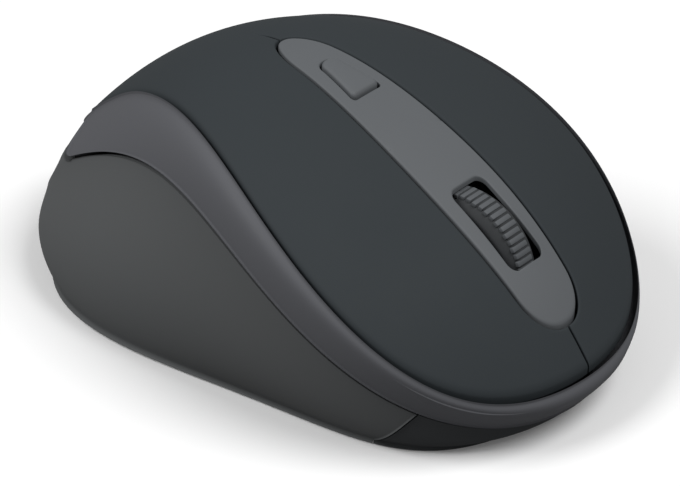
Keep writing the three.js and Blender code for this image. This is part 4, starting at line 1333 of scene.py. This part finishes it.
@dataclass
class Inside(SubAssembly):
    """The works inside: the solid model's own pieces, given their finishes."""

    finishes: dict = field(
        default_factory=lambda: {
            Palette.WHITE: (
                "dpi_switch_plunger",
                "left_switch_plunger",
                "right_switch_plunger",
                "middle_switch_plunger",
                "wheel_hub",
            ),
            Palette.BLACK: (
                "dpi_switch_body",
                "sensor_chip",
                "radio_chip",
                "capacitor",
                "wheel_cradle",
                "left_switch_body",
                "right_switch_body",
                "middle_switch_body",
                "encoder_disc",
                "encoder_detector",
            ),
            Palette.BOARD: ("dpi_board", "main_board"),
            Palette.CLEAR: ("sensor_lens", "encoder_emitter"),
            Palette.LAMP: ("sensor_lamp",),
            Palette.STEEL: (
                "dpi_screw_rear",
                "dpi_screw_front",
                "case_screw_left",
                "case_screw_right",
                "board_screw_left",
                "board_screw_right",
                "contact_link",
                "contact_positive",
                "contact_negative",
            ),
            Palette.TIN: ("crystal", "power_switch_body", "receiver_plug"),
            Palette.CELL: ("battery_front", "battery_rear"),
        }
    )

    def build(self) -> list[bpy.types.Object]:
        """Dresses each of the solid model's pieces that stays in view."""
        made = []
        for finish, names in self.finishes.items():
            for name in names:
                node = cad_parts[name]
                SHOP.dress(node, finish)
                made.append(node)
        return made


# ---------------------------------------------------------------- studio


@dataclass
class Studio:
    """Pale floor, soft light and the camera."""

    azimuth: float = 127.60 * DEG
    elevation: float = 31.66 * DEG
    roll: float = 2.32 * DEG
    distance: float = 503.0
    lens: float = 175.3
    aim: tuple = (1.583, -3.325, 15.0)
    floor_bounce: float = 0.22
    floor_tone: float = 0.92
    floor_glow: float = 0.06
    floor_size: float = 3.0
    room_light: float = 0.27
    lamps: tuple = (
        ("key_light", (0.7, -0.45, 0.85), 0.6, 7.8),
        ("top_light", (-0.18, 0.53, 1.02), 0.7, 8.0),
    )

    def build(self) -> None:
        """Sets up the floor, the lights and the camera."""
        bpy.context.scene.view_settings.view_transform = "Standard"
        self._floor()
        self._lights()
        self._camera()

    def _floor(self) -> None:
        """A wide pale floor that throws less light back at the mouse than it shows."""
        bm = bmesh.new()
        bmesh.ops.create_grid(bm, x_segments=2, y_segments=2, size=self.floor_size)
        floor = SHOP.finish_mesh("studio_floor", bm)
        paint = Finish("floor_paper", (212, 212, 212), (0.8, 0.9), 2.0, 0.0, 0.004, specular=0.1)
        material = paint.material()
        tree = material.node_tree
        surface = next(node for node in tree.nodes if node.type == "BSDF_PRINCIPLED")
        path = tree.nodes.new("ShaderNodeLightPath")
        path.location = (surface.location.x - 600, surface.location.y - 500)
        tone = tree.nodes.new("ShaderNodeMapRange")
        tone.inputs["To Min"].default_value = self.floor_bounce
        tone.inputs["To Max"].default_value = self.floor_tone
        surface.inputs["Emission Color"].default_value = (1, 1, 1, 1)
        surface.inputs["Emission Strength"].default_value = self.floor_glow
        tone.location = (surface.location.x - 300, surface.location.y - 500)
        tree.links.new(path.outputs["Is Camera Ray"], tone.inputs["Value"])
        tree.links.new(tone.outputs["Result"], surface.inputs["Base Color"])
        floor.data.materials.append(material)

    def _lights(self) -> None:
        """A dim even room, a large soft key above the right side, and a soft top light."""
        world = bpy.data.worlds.new("studio_room")
        bpy.context.scene.world = world
        world.use_nodes = True
        back = world.node_tree.nodes["Background"]
        back.inputs["Color"].default_value = (1, 1, 1, 1)
        back.inputs["Strength"].default_value = self.room_light
        for name, place, size, power in self.lamps:
            lamp = bpy.data.lights.new(name, "AREA")
            lamp.shape, lamp.size, lamp.energy = "DISK", size, power
            light = bpy.data.objects.new(name, lamp)
            light.location = place
            aim = Vector((0, 0, 0.02)) - Vector(place)
            light.rotation_euler = aim.to_track_quat("-Z", "Y").to_euler()
            bpy.context.scene.collection.objects.link(light)

    def _camera(self) -> None:
        """A long lens looking down on the nose and right side."""
        a, e, r = self.azimuth, self.elevation, self.roll
        back = Vector((math.sin(a) * math.cos(e), -math.cos(a) * math.cos(e), math.sin(e)))
        right = Vector((math.cos(a), math.sin(a), 0))
        up = back.cross(right)
        across = right * math.cos(r) + up * math.sin(r)
        upward = -right * math.sin(r) + up * math.cos(r)
        target = Vector((0, 0, self.aim[2])) + right * self.aim[0] + up * self.aim[1]
        data = bpy.data.cameras.new("camera")
        data.lens, data.sensor_width = self.lens, 36.0
        camera = bpy.data.objects.new("camera", data)
        turn = Matrix((across, upward, back)).transposed()
        camera.matrix_world = Matrix.Translation((target + back * self.distance) * MM) @ turn.to_4x4()
        bpy.context.scene.collection.objects.link(camera)
        bpy.context.scene.camera = camera


# ---------------------------------------------------------------- main


def main() -> None:
    logging.basicConfig(level=logging.INFO, format="%(name)s: %(message)s")
    assemblies = (
        TopCover(),
        CentreStrip(),
        SpeedButton(),
        SideWalls(),
        Base(),
        Underside(),
        ScrollWheel(),
        Inside(),
    )
    for assembly in assemblies:
        for piece in assembly.build():
            log.info("%s: %s, %d faces", type(assembly).__name__, piece.name, len(piece.data.polygons))
    Studio().build()


if __name__ == "__main__":
    main()
